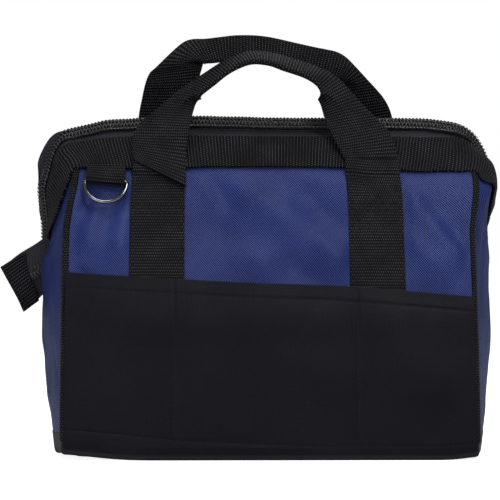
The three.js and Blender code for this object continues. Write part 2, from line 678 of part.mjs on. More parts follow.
// The left tail hangs from the top of the left end, in the middle plane of the bag.
function addLeftTail() {
  const root = -creaseReach - gap;
  const high = tapeMargin;
  const low = 1 - tapeMargin;
  const tape = [[root, pivotHeight - tailTop], tabPlace(0, high), tabPlace(tapeReach, high),
    tabPlace(tapeReach, low), tabPlace(0, low), [root, pivotHeight - tailFoot]];
  addMesh('left_tail_tape', plateXZ(tape, tapeThickness), blackFabric);

  const slot = [tabPlace(-slotExcess, -slotExcess), tabPlace(slotReach, -slotExcess),
    tabPlace(slotReach, 1 + slotExcess), tabPlace(-slotExcess, 1 + slotExcess)];
  const folded = plateXZ([tabPlace(0, 0), tabPlace(1, 0), tabPlace(1, 1), tabPlace(0, 1)], tabThickness);
  addMesh('left_tail_tab', cut(folded, plateXZ(slot, tapeThickness + 2 * gap)), webbing);

  const angle = degrees(tailChainDrop);
  const spot = (along, across) => [root - along * Math.cos(angle) + across * Math.sin(angle),
    pivotHeight - tailChainHeight - along * Math.sin(angle) - across * Math.cos(angle)];
  const first = chainHalf * Math.tan(angle) + tailChainStart;
  const count = Math.floor((tailChainLength - first) / (toothPitch / 2));
  const row = (side) => steps(first, tailChainLength, count)
    .map((along, i) => spot(along, side * (chainHalf - (i % 2) * toothReach / 2)));
  const chain = plateXZ([...row(-1), ...row(1).reverse()], toothHeight);
  addMesh('left_tail_teeth', chain.translate(0, -(tapeThickness + toothHeight) / 2 - gap, 0), coil);
}

// Directions of the right tail, which lies on the rear half of the right end: down it, across it and out of it.
const rightTail = (() => {
  const height = pivotHeight - tailTopDrop;
  const top = endWall(1, 1, tailTopShare, height);
  const down = endWall(1, 1, tailFootShare, height - tailFall).sub(top).normalize();
  const level = endWall(1, 1, tailTopShare + seamStep, height).sub(top).normalize();
  const out = level.clone().cross(down).normalize();
  if (out.x < 0) out.negate();
  return { root: top.addScaledVector(out, rightTailStand), down, across: out.clone().cross(down).normalize(), out };
})();

// Lays a solid on the right tail: its x runs across, its y down and its z outwards.
function onRightTail(geometry) {
  const { root, down, across, out } = rightTail;
  return seated(geometry, root, across.clone().negate(), down, out);
}

const flatBox = (x0, x1, y0, y1, z0, z1) => boxBetween(vec(x0, y0, z0), vec(x1, y1, z1));

function addRightTail() {
  const end = sliderStart + sliderLength + sliderTravel;
  const half = tapeThickness / 2;
  const plate = flatBox(-rightTailHalf, rightTailHalf, 0, end + tailOverhang, -half, half);
  const sewn = [-rightTailHalf * tailRootLeft, rightTailHalf * tailRootRight];
  const foot = flatBox(...sewn, 0, sliderStart - tailRoot, 3 * gap - rightTailStand, half);
  const slot = flatBox(-slotHalf, slotHalf, sliderStart - tapeThickness * 2, end + tapeThickness, -rightTailStand,
    rightTailStand);
  addMesh('right_tail_tape', onRightTail(cut(joined(plate, foot), slot)), blackFabric);

  for (const [name, side] of [['front', 1], ['rear', -1]]) {
    const count = 2 * Math.round((end - sliderStart) / toothPitch);
    const rings = steps(sliderStart, end, count).map((y, i) => {
      const tip = side * (slotHalf + gap + (i % 2) * tailToothReach);
      const back = side * (chainHalf + toothTail);
      const low = half + gap;
      const shoulder = low + toothHeight * toothShoulder;
      return [vec(back, y, low), vec(back, y, shoulder), vec(tip, y, low + toothHeight), vec(tip, y, low)];
    });
    addMesh(`right_tail_${name}_teeth`, onRightTail(loftSolid(rings)), coil);
  }
}

// The slider: two plates joined by the divider between the rows, with side flanges and a lug for the pull.
function addSlider() {
  const y0 = sliderStart;
  const y1 = sliderStart + sliderLength;
  const under = -tapeThickness / 2 - gap * 1.5;
  const over = tapeThickness / 2 + 2 * gap + toothHeight;
  const wide = sliderHalfWidth;
  const nose = wide * sliderNose;
  const heel = wide * sliderHeel;
  const waist = mix(y0, y1, sliderWaist);
  const shoulder = mix(y0, y1, sliderShoulder);
  const plate = (z) => {
    const outline = new THREE.Shape();
    outline.moveTo(-nose, y0);
    outline.lineTo(nose, y0);
    outline.quadraticCurveTo(wide, waist, wide, shoulder);
    outline.quadraticCurveTo(wide, y1, heel, y1);
    outline.lineTo(-heel, y1);
    outline.quadraticCurveTo(-wide, y1, -wide, shoulder);
    outline.quadraticCurveTo(-wide, waist, -nose, y0);
    const cutOut = new THREE.ExtrudeGeometry(outline, { depth: sliderPlate, bevelEnabled: false, curveSegments: 5 });
    return cutOut.translate(0, 0, z);
  };
  const overPlate = plate(over);
  const underPlate = plate(under - sliderPlate);
  const dividerEnd = y1 - dividerMargin;
  const divider = flatBox(-dividerHalf, dividerHalf, dividerEnd - dividerLength, dividerEnd,
    under - sliderPlate / 2, over + sliderPlate / 2);
  const lugMiddle = mix(y0, y1, lugShare);
  const eyeRadius = pinRadius + ringClearance;
  const lugRadius = eyeRadius + lugWall;
  const lugHeight = over + sliderPlate + eyeRadius;
  const lugShape = new THREE.Shape();
  lugShape.absarc(0, 0, lugRadius, 0, Math.PI);
  lugShape.lineTo(-lugRadius, -eyeRadius - sliderPlate / 2);
  lugShape.lineTo(lugRadius, -eyeRadius - sliderPlate / 2);
  lugShape.holes.push(new THREE.Path().absarc(0, 0, eyeRadius, 0, Math.PI * 2, true));
  const lug = new THREE.ExtrudeGeometry(lugShape, { depth: lugWidth, bevelEnabled: false, curveSegments: 8 });
  lug.translate(0, 0, -lugWidth / 2);
  seated(lug, vec(0, lugMiddle, lugHeight), vec(0, 1, 0), vec(0, 0, 1), vec(1, 0, 0));
  addMesh('zip_slider', onRightTail(joined(overPlate, underPlate, divider, lug)), darkSteel);

  const armInside = lugWidth / 2 + ringClearance;
  const pinLength = (pullHalfWidth - pinMargin) * 2;
  const pin = new THREE.CylinderGeometry(pinRadius, pinRadius, pinLength, 12).rotateZ(Math.PI / 2);
  pin.translate(0, lugMiddle, lugHeight);
  const low = lugHeight - pullThickness / 2;
  const high = lugHeight + pullThickness / 2;
  const armEnd = lugMiddle + lugRadius + pullArm;
  const arm = (side) => {
    const sides = [side * armInside, side * pullHalfWidth].sort((a, b) => a - b);
    return flatBox(...sides, lugMiddle, armEnd, low, high);
  };
  const leaf = flatBox(-pullHalfWidth, pullHalfWidth, armEnd - pullLap, lugMiddle + pullLength, low, high);
  addMesh('pull_tab', onRightTail(joined(pin, arm(-1), arm(1), leaf)), darkSteel);
}

addBase();
for (const [face, faceName] of [[-1, 'front'], [1, 'rear']]) {
  addPanel(faceName, face);
  addPocket(faceName, face);
  for (const [side, sideName] of [[-1, 'left'], [1, 'right']]) {
    addGather(`${faceName}_${sideName}`, side, face);
    addBinding(`${faceName}_${sideName}`, side, face);
    addStrap(`${faceName}_${sideName}`, side, face);
  }
  const curves = mouthCurves(face);
  addBand(faceName, face, curves);
  addTape(faceName, face, curves);
  addTeeth(faceName, face, curves);
  addRod(faceName, face, curves);
}
addEnd('left', -1);
addEnd('right', 1);
addHandle('front', -1, frontPath, frontLean, frontTilt);
addHandle('rear', 1, rearPath, rearLean, rearTilt);
addRing();
addLeftTail();
addRightTail();
addSlider();

export default bag;
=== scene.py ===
# A zippered tool bag with a wide mouth, dressed over its solid model. Lengths are millimetres until a mesh is made.
# Z is up, the front faces -Y, +X is to the right, and the origin is the middle of the base on the floor.
import math

import bmesh
import bpy
import numpy as np
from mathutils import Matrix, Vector


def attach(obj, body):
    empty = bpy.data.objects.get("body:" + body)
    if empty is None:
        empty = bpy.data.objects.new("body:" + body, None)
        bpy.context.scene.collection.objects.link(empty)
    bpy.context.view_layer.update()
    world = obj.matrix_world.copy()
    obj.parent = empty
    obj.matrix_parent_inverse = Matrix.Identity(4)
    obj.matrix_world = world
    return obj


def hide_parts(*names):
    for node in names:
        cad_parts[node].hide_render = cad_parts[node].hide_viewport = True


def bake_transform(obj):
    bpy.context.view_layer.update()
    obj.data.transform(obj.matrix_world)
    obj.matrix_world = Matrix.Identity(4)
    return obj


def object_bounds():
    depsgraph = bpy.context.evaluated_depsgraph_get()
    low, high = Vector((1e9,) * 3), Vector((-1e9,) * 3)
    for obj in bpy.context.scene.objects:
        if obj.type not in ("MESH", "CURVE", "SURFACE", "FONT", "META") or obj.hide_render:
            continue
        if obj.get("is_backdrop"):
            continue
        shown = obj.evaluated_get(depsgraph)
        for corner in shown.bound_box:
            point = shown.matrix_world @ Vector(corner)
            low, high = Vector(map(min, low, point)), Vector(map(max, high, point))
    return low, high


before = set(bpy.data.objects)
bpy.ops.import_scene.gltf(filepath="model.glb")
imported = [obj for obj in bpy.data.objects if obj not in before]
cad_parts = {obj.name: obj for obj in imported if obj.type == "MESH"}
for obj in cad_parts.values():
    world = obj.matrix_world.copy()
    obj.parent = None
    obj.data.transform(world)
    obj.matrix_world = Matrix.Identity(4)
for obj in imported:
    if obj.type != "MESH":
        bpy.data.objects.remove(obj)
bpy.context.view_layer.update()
MM = 0.001

# ---- Studio
# A pale floor that keeps the bag's shadow, a world that is white where the camera sees it, four soft lamps, and a
# camera a little below the middle of the bag, nearly square to its front.

scene = bpy.context.scene
scene.view_settings.view_transform = "Standard"


def toward(azimuth, elevation):
    a = math.radians(azimuth)
    e = math.radians(elevation)
    return Vector((math.sin(a) * math.cos(e), -math.cos(a) * math.cos(e), math.sin(e)))


def stand_at(data, target, azimuth, elevation, far):
    """Puts a camera or a lamp at a distance from a target and turns it to face the target."""
    made = bpy.data.objects.new(data.name, data)
    scene.collection.objects.link(made)
    made.location = target + toward(azimuth, elevation) * far
    made.rotation_mode = "QUATERNION"
    made.rotation_quaternion = (-toward(azimuth, elevation)).to_track_quat("-Z", "Y")
    return made


lens = bpy.data.cameras.new("camera")
lens.lens = 170.2
scene.camera = stand_at(lens, Vector((-0.01245, 0, 0.14326)), azimuth=-0.94, elevation=-0.12, far=1.6975)

# Each lamp's azimuth and elevation in degrees, its distance and size in metres, and its power in watts.
LAMPS = (
    ("key_lamp", 26, 48, 1.8, 0.5, 11.5), ("fill_lamp", -26, 6, 1.9, 1.0, 7.5),
    ("top_lamp", 5, 80, 1.7, 0.7, 10), ("back_lamp", 172, 38, 1.9, 1.0, 5),
)
for name, azimuth, elevation, far, size, power in LAMPS:
    light = bpy.data.lights.new(name, "AREA")
    light.size = size
    light.energy = power
    stand_at(light, Vector((0, 0, 0.12)), azimuth, elevation, far)


def to_linear(code):
    """Six hex digits of an sRGB colour as the linear values that a shader takes."""
    parts = [int(code[i:i + 2], 16) / 255 for i in (0, 2, 4)]
    return [p / 12.92 if p <= 0.04045 else ((p + 0.055) / 1.055) ** 2.4 for p in parts] + [1]


def add_node(tree, kind, inputs, output=0, **settings):
    """Adds a node, fills or links its inputs by number or name, and gives one of its outputs."""
    made = tree.nodes.new("ShaderNode" + kind)
    for key, value in settings.items():
        setattr(made, key, value)
    for key, value in inputs.items():
        if isinstance(value, bpy.types.NodeSocket):
            tree.links.new(value, made.inputs[key])
        else:
            made.inputs[key].default_value = value
    return made.outputs[output]


def new_finish(name, **sockets):
    """A material with its shader's own sockets set: gives the material, its nodes and its shader."""
    made = bpy.data.materials.new(name)
    made.use_nodes = True
    shader = made.node_tree.nodes["Principled BSDF"]
    for key, value in sockets.items():
        shader.inputs[key.replace("_", " ")].default_value = value
    return made, made.node_tree, shader


FLOOR_GLOW = 0.9
AMBIENT = 0.25

# Matt white paint. The camera alone sees it glow a little, so that it joins the white background.
studio_floor, tree, shader = new_finish("matt_white_floor", Roughness=0.9, Specular_IOR_Level=0.0,
                                        Base_Color=to_linear("EAEAEA"), Emission_Color=(1, 1, 1, 1))
seen = add_node(tree, "LightPath", {})
glow = add_node(tree, "Math", {0: seen, 1: FLOOR_GLOW}, operation="MULTIPLY")
tree.links.new(glow, shader.inputs["Emission Strength"])
bm = bmesh.new()
bmesh.ops.create_grid(bm, x_segments=1, y_segments=1, size=40)
mesh = bpy.data.meshes.new("floor")
bm.to_mesh(mesh)
bm.free()
mesh.materials.append(studio_floor)
floor = bpy.data.objects.new("floor", mesh)
floor.location.z = -0.0002
scene.collection.objects.link(floor)
floor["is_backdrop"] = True

world = bpy.data.worlds.new("world")
scene.world = world
world.use_nodes = True
tree = world.node_tree
seen = add_node(tree, "LightPath", {})
strength = add_node(tree, "Math", {0: seen, 1: 1 - AMBIENT, 2: AMBIENT}, operation="MULTIPLY_ADD")
tree.nodes["Background"].inputs["Color"].default_value = (1, 1, 1, 1)
tree.links.new(strength, tree.nodes["Background"].inputs["Strength"])

# ---- Base
# A tray of black 600 denier polyester painted a little lighter as painted light, its edge turned up 14 mm round the bag
# and bowed up at the four corners where the seams pull it, over a stiff board that keeps the floor of the bag flat.

PANEL_HALF = 142
BASE_DEPTH = 184
MOUTH_DEPTH = 28
BAND_TOP = 225
HOLLOW = 0.675
BELLY = 3
CREASE = 161
FOOT = 153
CREASE_HEIGHT = 90
END_ROUND = 0.3
SPLIT = 109
TRAY = 14
TRAY_THICK = 1.6
SLUMP_REACH = 9.0
LEFT_LIFT = 4.2
RIGHT_LIFT = 2.6


def mix(a, b, share):
    return a + (b - a) * share


def smooth(value, low, high):
    t = np.clip((np.asarray(value, float) - low) / (high - low), 0, 1)
    return t * t * (3 - 2 * t)


def points(x, y, z):
    return np.stack(np.broadcast_arrays(x, y, z), -1).astype(float)


def unit(v):
    return v / np.maximum(np.linalg.norm(v, axis=-1, keepdims=True), 1e-9)


def depth_at(z):
    share = z / BAND_TOP
    return mix(BASE_DEPTH / 2, MOUTH_DEPTH / 2, (1 - HOLLOW) * share + HOLLOW * share * share)


def crease_x(z):
    return mix(CREASE, FOOT, np.maximum(1 - z / CREASE_HEIGHT, 0) ** 2)


def wall(face, w, z):
    """The closed bag's outside: w runs from -1 to 1 over a panel, and from 1 to 2 from a seam to an end's crease."""
    w, z = np.broadcast_arrays(np.asarray(w, float), np.asarray(z, float))
    across = np.minimum(np.abs(w), 1)
    past = np.maximum(np.abs(w) - 1, 0)
    x = PANEL_HALF * across + (crease_x(z) - PANEL_HALF) * ((1 + END_ROUND) * past - END_ROUND * past ** 2)
    swell = BELLY * (1 - across ** 2) * np.sin(np.pi * np.minimum(z / BAND_TOP, 1))
    return points(np.sign(w) * x, face * (depth_at(z) + swell) * (1 - past), z)


# How this bag has slumped, as places on it and the way that each has gone: x, y, z, then along x, y and z.
SLUMP = np.array([
    (-150, 0, 226, 0.2, 0, -0.4), (-138, 0, 232, 0, 0, -4.1), (-127, 0, 233, 0, 0, -3.4), (-110, 0, 233, 0, 0, -1.0),
    (-75, 0, 233, 0, 0, 1.2), (-48, 0, 233, 0, 0, 1.9), (-22, 0, 233, 0, 0, 1.3), (0, 0, 233, 0, 0, 0.4),
    (40, 0, 233, 0, 0, 0.3), (80, 0, 233, 0, 0, 0.2), (112, 0, 233, 0, 0, 0), (126, 0, 233, 0, 0, -1.4),
    (137, 0, 232, 0, 0, -3.9), (145, 0, 230, -2.4, 0, -3.3), (151, 0, 225, -4.6, 0, -4), (156, 0, 218, -6.2, 1, -3.2),
    (160, 0, 211, -6, 3, -2), (162, 0, 200, -8, 5, 0), (162, 0, 188, -8, 5, 0), (162, 0, 176, -7, 3, 0),
    (161, 0, 166, -5, 2, 0), (161, 0, 156, -2, 0, 0), (161, 0, 138, 1, 0, 0), (-151, 0, 220, 2, 0, 0),
    (-158, 0, 210, 2.2, 0, 0), (-162, 0, 190, 1.8, 0, 0), (-162, 0, 168, 1.6, 0, 0), (-162, 0, 156, 3, 0, 0),
    (145, -28, 193, 4, 0, 0.5), (150, -24, 180, 14, 3, 19),
    (155, -16, 166, 6, 2, 22), (159, -8, 156, -2, 1, 12), (156, -12, 196, 6.5, 0, -2), (158, -10, 186, 4, 0, 0),
    (152, -20, 205, 2, 0, -3), (-145, -28, 193, 6.6, 0, -1.5), (-150, -24, 180, 6.7, 0, -2),
    (-155, -16, 166, 6, 0, -3), (-159, -8, 156, 5, 0, -4),
    (-142, -33, 200, 7, 0, 0.6), (-142, -38, 190, 4, 0, 0), (-142, -43, 178, 1.5, 0, 0), (-142, -52, 150, 0, 0, 0),
    (142, -33, 200, 4.5, 0, -4), (142, -38, 188, 3.6, 0, -2), (142, -43, 175, 2, 0, 0), (142, -52, 150, 0, 0, 0),
    (110, -32, 200, 1, 0, -2.6), (80, -32, 200, 0, 0, -1.2), (50, -32, 200, 0, 0, 0.8),
    (-60, -32, 200, 0, 0, 0.6), (-38, -32, 200, 0, 0, 1.7), (-14, -32, 200, 0, 0, 1.7),
    (10, -32, 200, 0, 0, 1.7), (32, -32, 200, 0, 0, 1.5),
    (-100, -32, 200, 1.5, 0, 0), (-163, 0, 130, -3, 0, 0), (-162, 0, 90, -2.6, 0, 0), (-158, 0, 50, -1.2, 0, 0),
    (-162, 0, 180, 1.6, 0, 0), (-161, 0, 200, 2, 0, 0), (161, 0, 120, -0.8, 0, 0), (-155, 0, 20, 1.2, 0, 0),
    (0, -60, 120, 0, 0, 0), (100, -60, 120, 0, 0, 0), (-100, -60, 120, 0, 0, 0), (0, -45, 170, 0, 0, 0),
], float)


def slumped(p):
    """Moves points as the places near them have gone, and lifts the foot at its corners."""
    flat = p.reshape(-1, 3)
    moved = np.empty_like(flat)
    for start in range(0, len(flat), 20000):
        some = flat[start:start + 20000]
        far = ((some[:, None] - SLUMP[None, :, :3]) ** 2).sum(-1)
        weight = np.exp(-far / (2 * SLUMP_REACH ** 2))
        moved[start:start + 20000] = some + weight @ SLUMP[:, 3:] / (weight.sum(-1, keepdims=True) + 0.25)
    lift = LEFT_LIFT * smooth(-moved[:, 0], 70, 146) ** 2 + RIGHT_LIFT * smooth(moved[:, 0], 108, 148) ** 2
    moved[:, 2] += lift * (1 - smooth(moved[:, 2], 8, 60)) * smooth(np.abs(moved[:, 1]), 20, 80)
    return moved.reshape(p.shape)


def ripples(x, y, size, seed):
    """Soft bumps between about -1 and 1, a size across, the same at every run."""
    dice = np.random.default_rng(seed)
    total = 0
    for _ in range(14):
        angle = dice.uniform(0, 2 * np.pi)
        length = size * dice.uniform(0.7, 1.8)
        total = total + np.sin((x * np.cos(angle) + y * np.sin(angle)) * 2 * np.pi / length + dice.uniform(0, 6.3))
    return total / 5


def finish(bm, name, material, sharp=45):
    """Turns a bmesh into a smooth piece that keeps its sharp edges, with its material."""
    mesh = bpy.data.meshes.new(name)
    bm.to_mesh(mesh)
    bm.free()
    mesh.shade_smooth()
    mesh.set_sharp_from_angle(angle=math.radians(sharp))
    mesh.materials.append(material)
    made = bpy.data.objects.new(name, mesh)
    scene.collection.objects.link(made)
    return made


def out_of(surface, u, v, inside):
    """Places on surface(u, v) and the directions out of it, away from a point inside."""
    step = 1e-3
    place = surface(u, v)
    normal = unit(np.cross(surface(u + step, v) - surface(u - step, v), surface(u, v + step) - surface(u, v - step)))
    if np.sum((place - np.array(inside)) * normal) < 0:
        normal = -normal
    return place, normal


def sheet(name, cells, surface, thickness, material, stand=0, edge=0.25, inside=(0, 0, SPLIT)):
    """Lays a flat grid on surface(u, v), off by stand, and extrudes it inwards to a thickness with softened edges."""
    bm = bmesh.new()
    flat_map = bm.loops.layers.uv.new("flat")
    spot = bm.verts.layers.int.new("spot")
    bmesh.ops.create_grid(bm, x_segments=cells[0], y_segments=cells[1], size=0.5)
    u, v = np.array([vert.co[:2] for vert in bm.verts]).T + 0.5
    place, normal = out_of(surface, u, v, inside)
    order = np.lexsort((v, u))
    table = place[order].reshape(cells[0] + 1, cells[1] + 1, 3)
    run_u = np.linalg.norm(np.diff(table, axis=0, prepend=table[:1]), axis=-1).cumsum(0)
    run_v = np.linalg.norm(np.diff(table, axis=1, prepend=table[:, :1]), axis=-1).cumsum(1)
    run_u = run_u - run_u[cells[0] // 2]
    run_v = np.broadcast_to(run_v.mean(0), run_v.shape)
    flat = np.empty((len(u), 2))
    flat[order] = np.stack([run_u, run_v], -1).reshape(-1, 2) * MM
    height = np.broadcast_to(stand(u, v) if callable(stand) else stand, u.shape)[:, None]
    outer = slumped(place + normal * height) * MM
    inner = slumped(place + normal * (height - thickness)) * MM
    for vert, where in zip(bm.verts, outer):
        vert.co = where
        vert[spot] = vert.index
    for cell in bm.faces:
        for loop in cell.loops:
            loop[flat_map].uv = flat[loop.vert.index]
    made = bmesh.ops.extrude_face_region(bm, geom=bm.faces[:], use_keep_orig=True)["geom"]
    for vert in made:
        if isinstance(vert, bmesh.types.BMVert):
            vert.co = inner[vert[spot]]
    bm.verts.layers.int.remove(spot)
    bmesh.ops.recalc_face_normals(bm, faces=bm.faces[:])
    if edge:
        rim = [line for line in bm.edges if line.is_manifold and line.calc_face_angle() > 1.1]
        bmesh.ops.bevel(bm, geom=rim, offset=edge * MM, segments=2, profile=0.5, affect="EDGES", material=-1,
                        clamp_overlap=True)
    return finish(bm, name, material)


# How far apart a wave texture's bands are at a scale of 1, in metres.
WAVE = 0.314159


def polyester(name, dark, light, pitch, depth, slant, gloss, clouds):
    """Woven polyester. Warp and weft cross, and every second crossing stands up, which makes slanting lines. The
    real yarns are 0.5 mm apart, too fine to show, so they are drawn at the pitch that is given."""
    made, tree, shader = new_finish(name, Roughness=0.5, Specular_Tint=(0.88, 0.92, 1, 1))
    uv = add_node(tree, "TexCoord", {}, 2)
    place = add_node(tree, "TexCoord", {}, 3)
    turned = add_node(tree, "Mapping", {0: uv, 2: (0, 0, math.radians(slant))})
    scale = WAVE / (pitch * MM)
    warp = add_node(tree, "TexWave", {"Vector": turned, "Scale": scale}, 1, bands_direction="X")
    weft = add_node(tree, "TexWave", {"Vector": turned, "Scale": scale * 0.98}, 1, bands_direction="Y")
    fuzz = add_node(tree, "TexNoise", {"Vector": place, "Scale": 1100, "Detail": 2.0})
    mottle = add_node(tree, "TexNoise", {"Vector": place, "Scale": 28, "Detail": 3.0})
    weave = add_node(tree, "Math", {0: warp, 1: 0.56}, operation="MULTIPLY")
    weave = add_node(tree, "Math", {0: weft, 1: 0.44, 2: weave}, operation="MULTIPLY_ADD")
    rough = add_node(tree, "Math", {0: fuzz, 1: 0.4, 2: weave}, operation="MULTIPLY_ADD")
    tone = add_node(tree, "Math", {0: mottle, 1: clouds, 2: rough}, operation="MULTIPLY_ADD")
    tone = add_node(tree, "MapRange", {0: tone, 1: 0.42 + clouds * 0.5, 2: 0.98 + clouds * 0.5, 3: 0.0, 4: 1.0})
    colour = add_node(tree, "Mix", {0: tone, 6: to_linear(dark), 7: to_linear(light)}, 2, data_type="RGBA")
    tree.links.new(colour, shader.inputs["Base Color"])
    gleam = add_node(tree, "Math", {0: tone, 1: 2 * gloss}, operation="MULTIPLY")
    tree.links.new(gleam, shader.inputs["Specular IOR Level"])
    bump = add_node(tree, "Bump", {"Height": rough, "Distance": depth * MM})
    tree.links.new(bump, shader.inputs["Normal"])
    return made


# Woven black cloth for the pockets: matt and nearly black, with a faint slanting weave. The tray's copy is painted a
# little lighter, as painted light for its upright faces, and is a little smoother.
BLACK_POLYESTER = polyester("black_woven_polyester", "020203", "1B1A22", 1.22, 0.08, 45, 0.11, 0.2)
TRAY_POLYESTER_PAINTED_LIGHTER = polyester("black_polyester_painted_lighter", "07070B", "2C2B34", 1.22, 0.06, 45, 0.14, 0.2)


# Where the tray's grid bends from its flat bottom up to its rim, as shares of the way out.
TRAY_BEND = (0.8, 0.83, 0.86, 0.9, 1)


def tray_place(u, v):
    """The tray's outside. The middle of the grid is the flat bottom, and its border turns up round the bag."""
    a = 2 * np.asarray(u, float) - 1
    b = 2 * np.asarray(v, float) - 1
    level = np.maximum(np.maximum(np.abs(a), np.abs(b)), 1e-6)
    a, b = a / level, b / level
    on_panel = np.abs(b) >= np.abs(a)
    inset = np.interp(level, TRAY_BEND, (2.2, 0.9, 0.3, 0.1, 0))
    z = np.interp(level, TRAY_BEND, (0, 0.3, 1.4, 4, TRAY))
    face = np.where(b > 0, 1.0, -1.0)
    panel = wall(1, a, z)
    end = wall(1, 2 - np.abs(b), z)
    x = np.where(on_panel, panel[..., 0], np.sign(a) * end[..., 0])
    y = np.where(on_panel, panel[..., 1], end[..., 1]) * face
    inner = np.minimum(level / TRAY_BEND[0], 1)
    return points(x * (1 - inset / FOOT) * inner, y * (1 - 2 * inset / BASE_DEPTH) * inner, z)


# Painted light: the tray's cloth is a lighter copy of the pockets' black cloth.
tray = sheet("base_tray", (110, 90), tray_place, TRAY_THICK, TRAY_POLYESTER_PAINTED_LIGHTER, inside=(0, 0, 60))
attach(tray, "bag_body")
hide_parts("base_panel")


def speckled(name, dark, light, scale, detail, bump, **sockets):
    """A material that isn't woven: fine noise mixes two close colours and raises a bump, in millimetres, if any."""
    made, tree, shader = new_finish(name, **sockets)
    place = add_node(tree, "TexCoord", {}, 3)
    grain = add_node(tree, "TexNoise", {"Vector": place, "Scale": scale, "Detail": detail})
    colour = add_node(tree, "Mix", {0: grain, 6: to_linear(dark), 7: to_linear(light)}, 2, data_type="RGBA")
    tree.links.new(colour, shader.inputs["Base Color"])
    if bump:
        tree.links.new(add_node(tree, "Bump", {"Height": grain, "Distance": bump * MM}), shader.inputs["Normal"])
    return made


# Stiff fibre board: matt, dark and a little mottled.
board = speckled("pressed_fibre_board", "17181A", "303134", 600, 3.0, 0.05, Roughness=0.75, Specular_IOR_Level=0.3)
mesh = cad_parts["base_board"].data
mesh.materials.clear()
mesh.materials.append(board)

# ---- Front and rear panels
# Two panels of blue polyester, lined and slightly padded, that rise from the tray to the mouth band. They sag between
# the straps, and short folds run from the band and the seams where the sewing pulls them.

FACES = ((-1, "front"), (1, "rear"))
FABRIC = 1.8
GAP = 0.3
BAND_BOTTOM = 200
LAP = 3
WALL_FOOT = TRAY + GAP
PANEL_EDGE = 1 - 1.4 / PANEL_HALF
FOLD_HEIGHT = 4.2

# Woven blue cloth: deep blue, with a slanting weave that catches a cool sheen.
BLUE_POLYESTER = polyester("blue_woven_polyester", "03040E", "32438C", 1.22, 0.12, -38, 0.19, 0.3)


def fold(x, z, start, end, width):
    """A soft ridge from 0 to 1 along a line of the panel, which fades at both ends."""
    start = np.array(start, float)
    line = np.array(end, float) - start
    length = np.linalg.norm(line)
    line = line / length
    along = ((x - start[0]) * line[0] + (z - start[1]) * line[1]) / length
    off = -(x - start[0]) * line[1] + (z - start[1]) * line[0]
    return np.exp(-(off / width) ** 2) * smooth(along, -0.15, 0.3) * (1 - smooth(along, 0.6, 1.15))


# Ridges and hollows of the front panel: where each starts and ends in x and z, its width and its height.
FOLDS = (
    ((-54, 198), (-34, 172), 5, 0.7), ((-44, 196), (-22, 166), 8, -0.9), ((-20, 192), (26, 148), 13, 1.4),
    ((-48, 168), (-8, 136), 12, -1.3), ((-30, 150), (10, 122), 11, 1.2), ((16, 192), (52, 156), 11, -1.3),
    ((30, 152), (56, 128), 10, 1.2), ((6, 138), (42, 116), 9, -0.9), ((96, 188), (128, 150), 10, 1.3),
    ((106, 184), (136, 146), 8, -1.0), ((112, 160), (138, 134), 7, 1.0), ((96, 152), (126, 124), 10, 1.1),
    ((-134, 168), (-122, 188), 6, -1.0), ((-130, 140), (-116, 174), 7, 1.1), ((-134, 134), (-124, 118), 4, -0.8),
    ((-122, 150), (-104, 190), 9, -1.0), ((-106, 136), (-98, 178), 8, 1.0),
)


def panel_dents(face, w, z):
    x = w * PANEL_HALF
    dents = 1.4 * ripples(x, z, 46, 11 + face) + 0.12 * ripples(x, z, 16, 31 + face)
    for start, end, width, height in FOLDS:
        dents = dents + FOLD_HEIGHT * height * fold(x * -face, z, start, end, width)
    calm = smooth(1 - np.abs(w), 0.02, 0.08) * smooth(z, WALL_FOOT, 30) * (1 - 0.8 * smooth(z, 182, BAND_BOTTOM))
    calm = calm * mix(0.2, 1, smooth(np.abs(np.abs(x) - 76), 17, 26))
    return dents * calm


def bends_with_mouth(piece):
    """Bakes a piece's placement into its mesh; it is not tied to the body or to the mouth."""
    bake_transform(piece)


for face, name in FACES:
    def panel_place(u, v, f=face):
        return wall(f, mix(-PANEL_EDGE, PANEL_EDGE, u), mix(WALL_FOOT, BAND_BOTTOM + LAP, v))

    def panel_stand(u, v, f=face):
        return 0.75 * panel_dents(f, mix(-PANEL_EDGE, PANEL_EDGE, u), mix(WALL_FOOT, BAND_BOTTOM + LAP, v)) - 0.3

    panel = sheet(f"{name}_panel_cloth", (170, 110), panel_place, FABRIC - 0.4, BLUE_POLYESTER,
                  stand=panel_stand, edge=0)
    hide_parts(f"{name}_panel")
    bends_with_mouth(panel)

# ---- Ends
# Each end is one piece of the same blue cloth from seam to seam, creased down its middle so that it folds outwards.
# Above the line where it gathers as the mouth opens, it is drawn as two more pieces, one for each half of the mouth.

SIDES = ((-1, "left"), (1, "right"))
PIVOT = 150


def end_wall(side, face, share, z):
    """A share of the way from an end's crease, which is a soft bend, to its seam with the front or rear panel."""
    share = np.asarray(share, float)
    place = wall(face, side * (2 - share), z)
    round_off = np.sqrt(share ** 2 + 0.0025)
    place[..., 0] = wall(face, side * (2 - round_off), z)[..., 0]
    return place


def end_edge(z):
    """The share of the way from crease to seam at which the cloth stops, beside the seam's binding."""
    return 1 - 1.6 / np.hypot(crease_x(z) - PANEL_HALF, depth_at(z))


def fold_line(share):
    z = np.full(np.shape(share), float(PIVOT))
    for _ in range(8):
        z = PIVOT - (PIVOT - SPLIT) / depth_at(SPLIT) * share * depth_at(z)
    return z


def band_edge(share):
    return mix(PIVOT, BAND_BOTTOM, np.maximum(share, 0) ** 1.15)


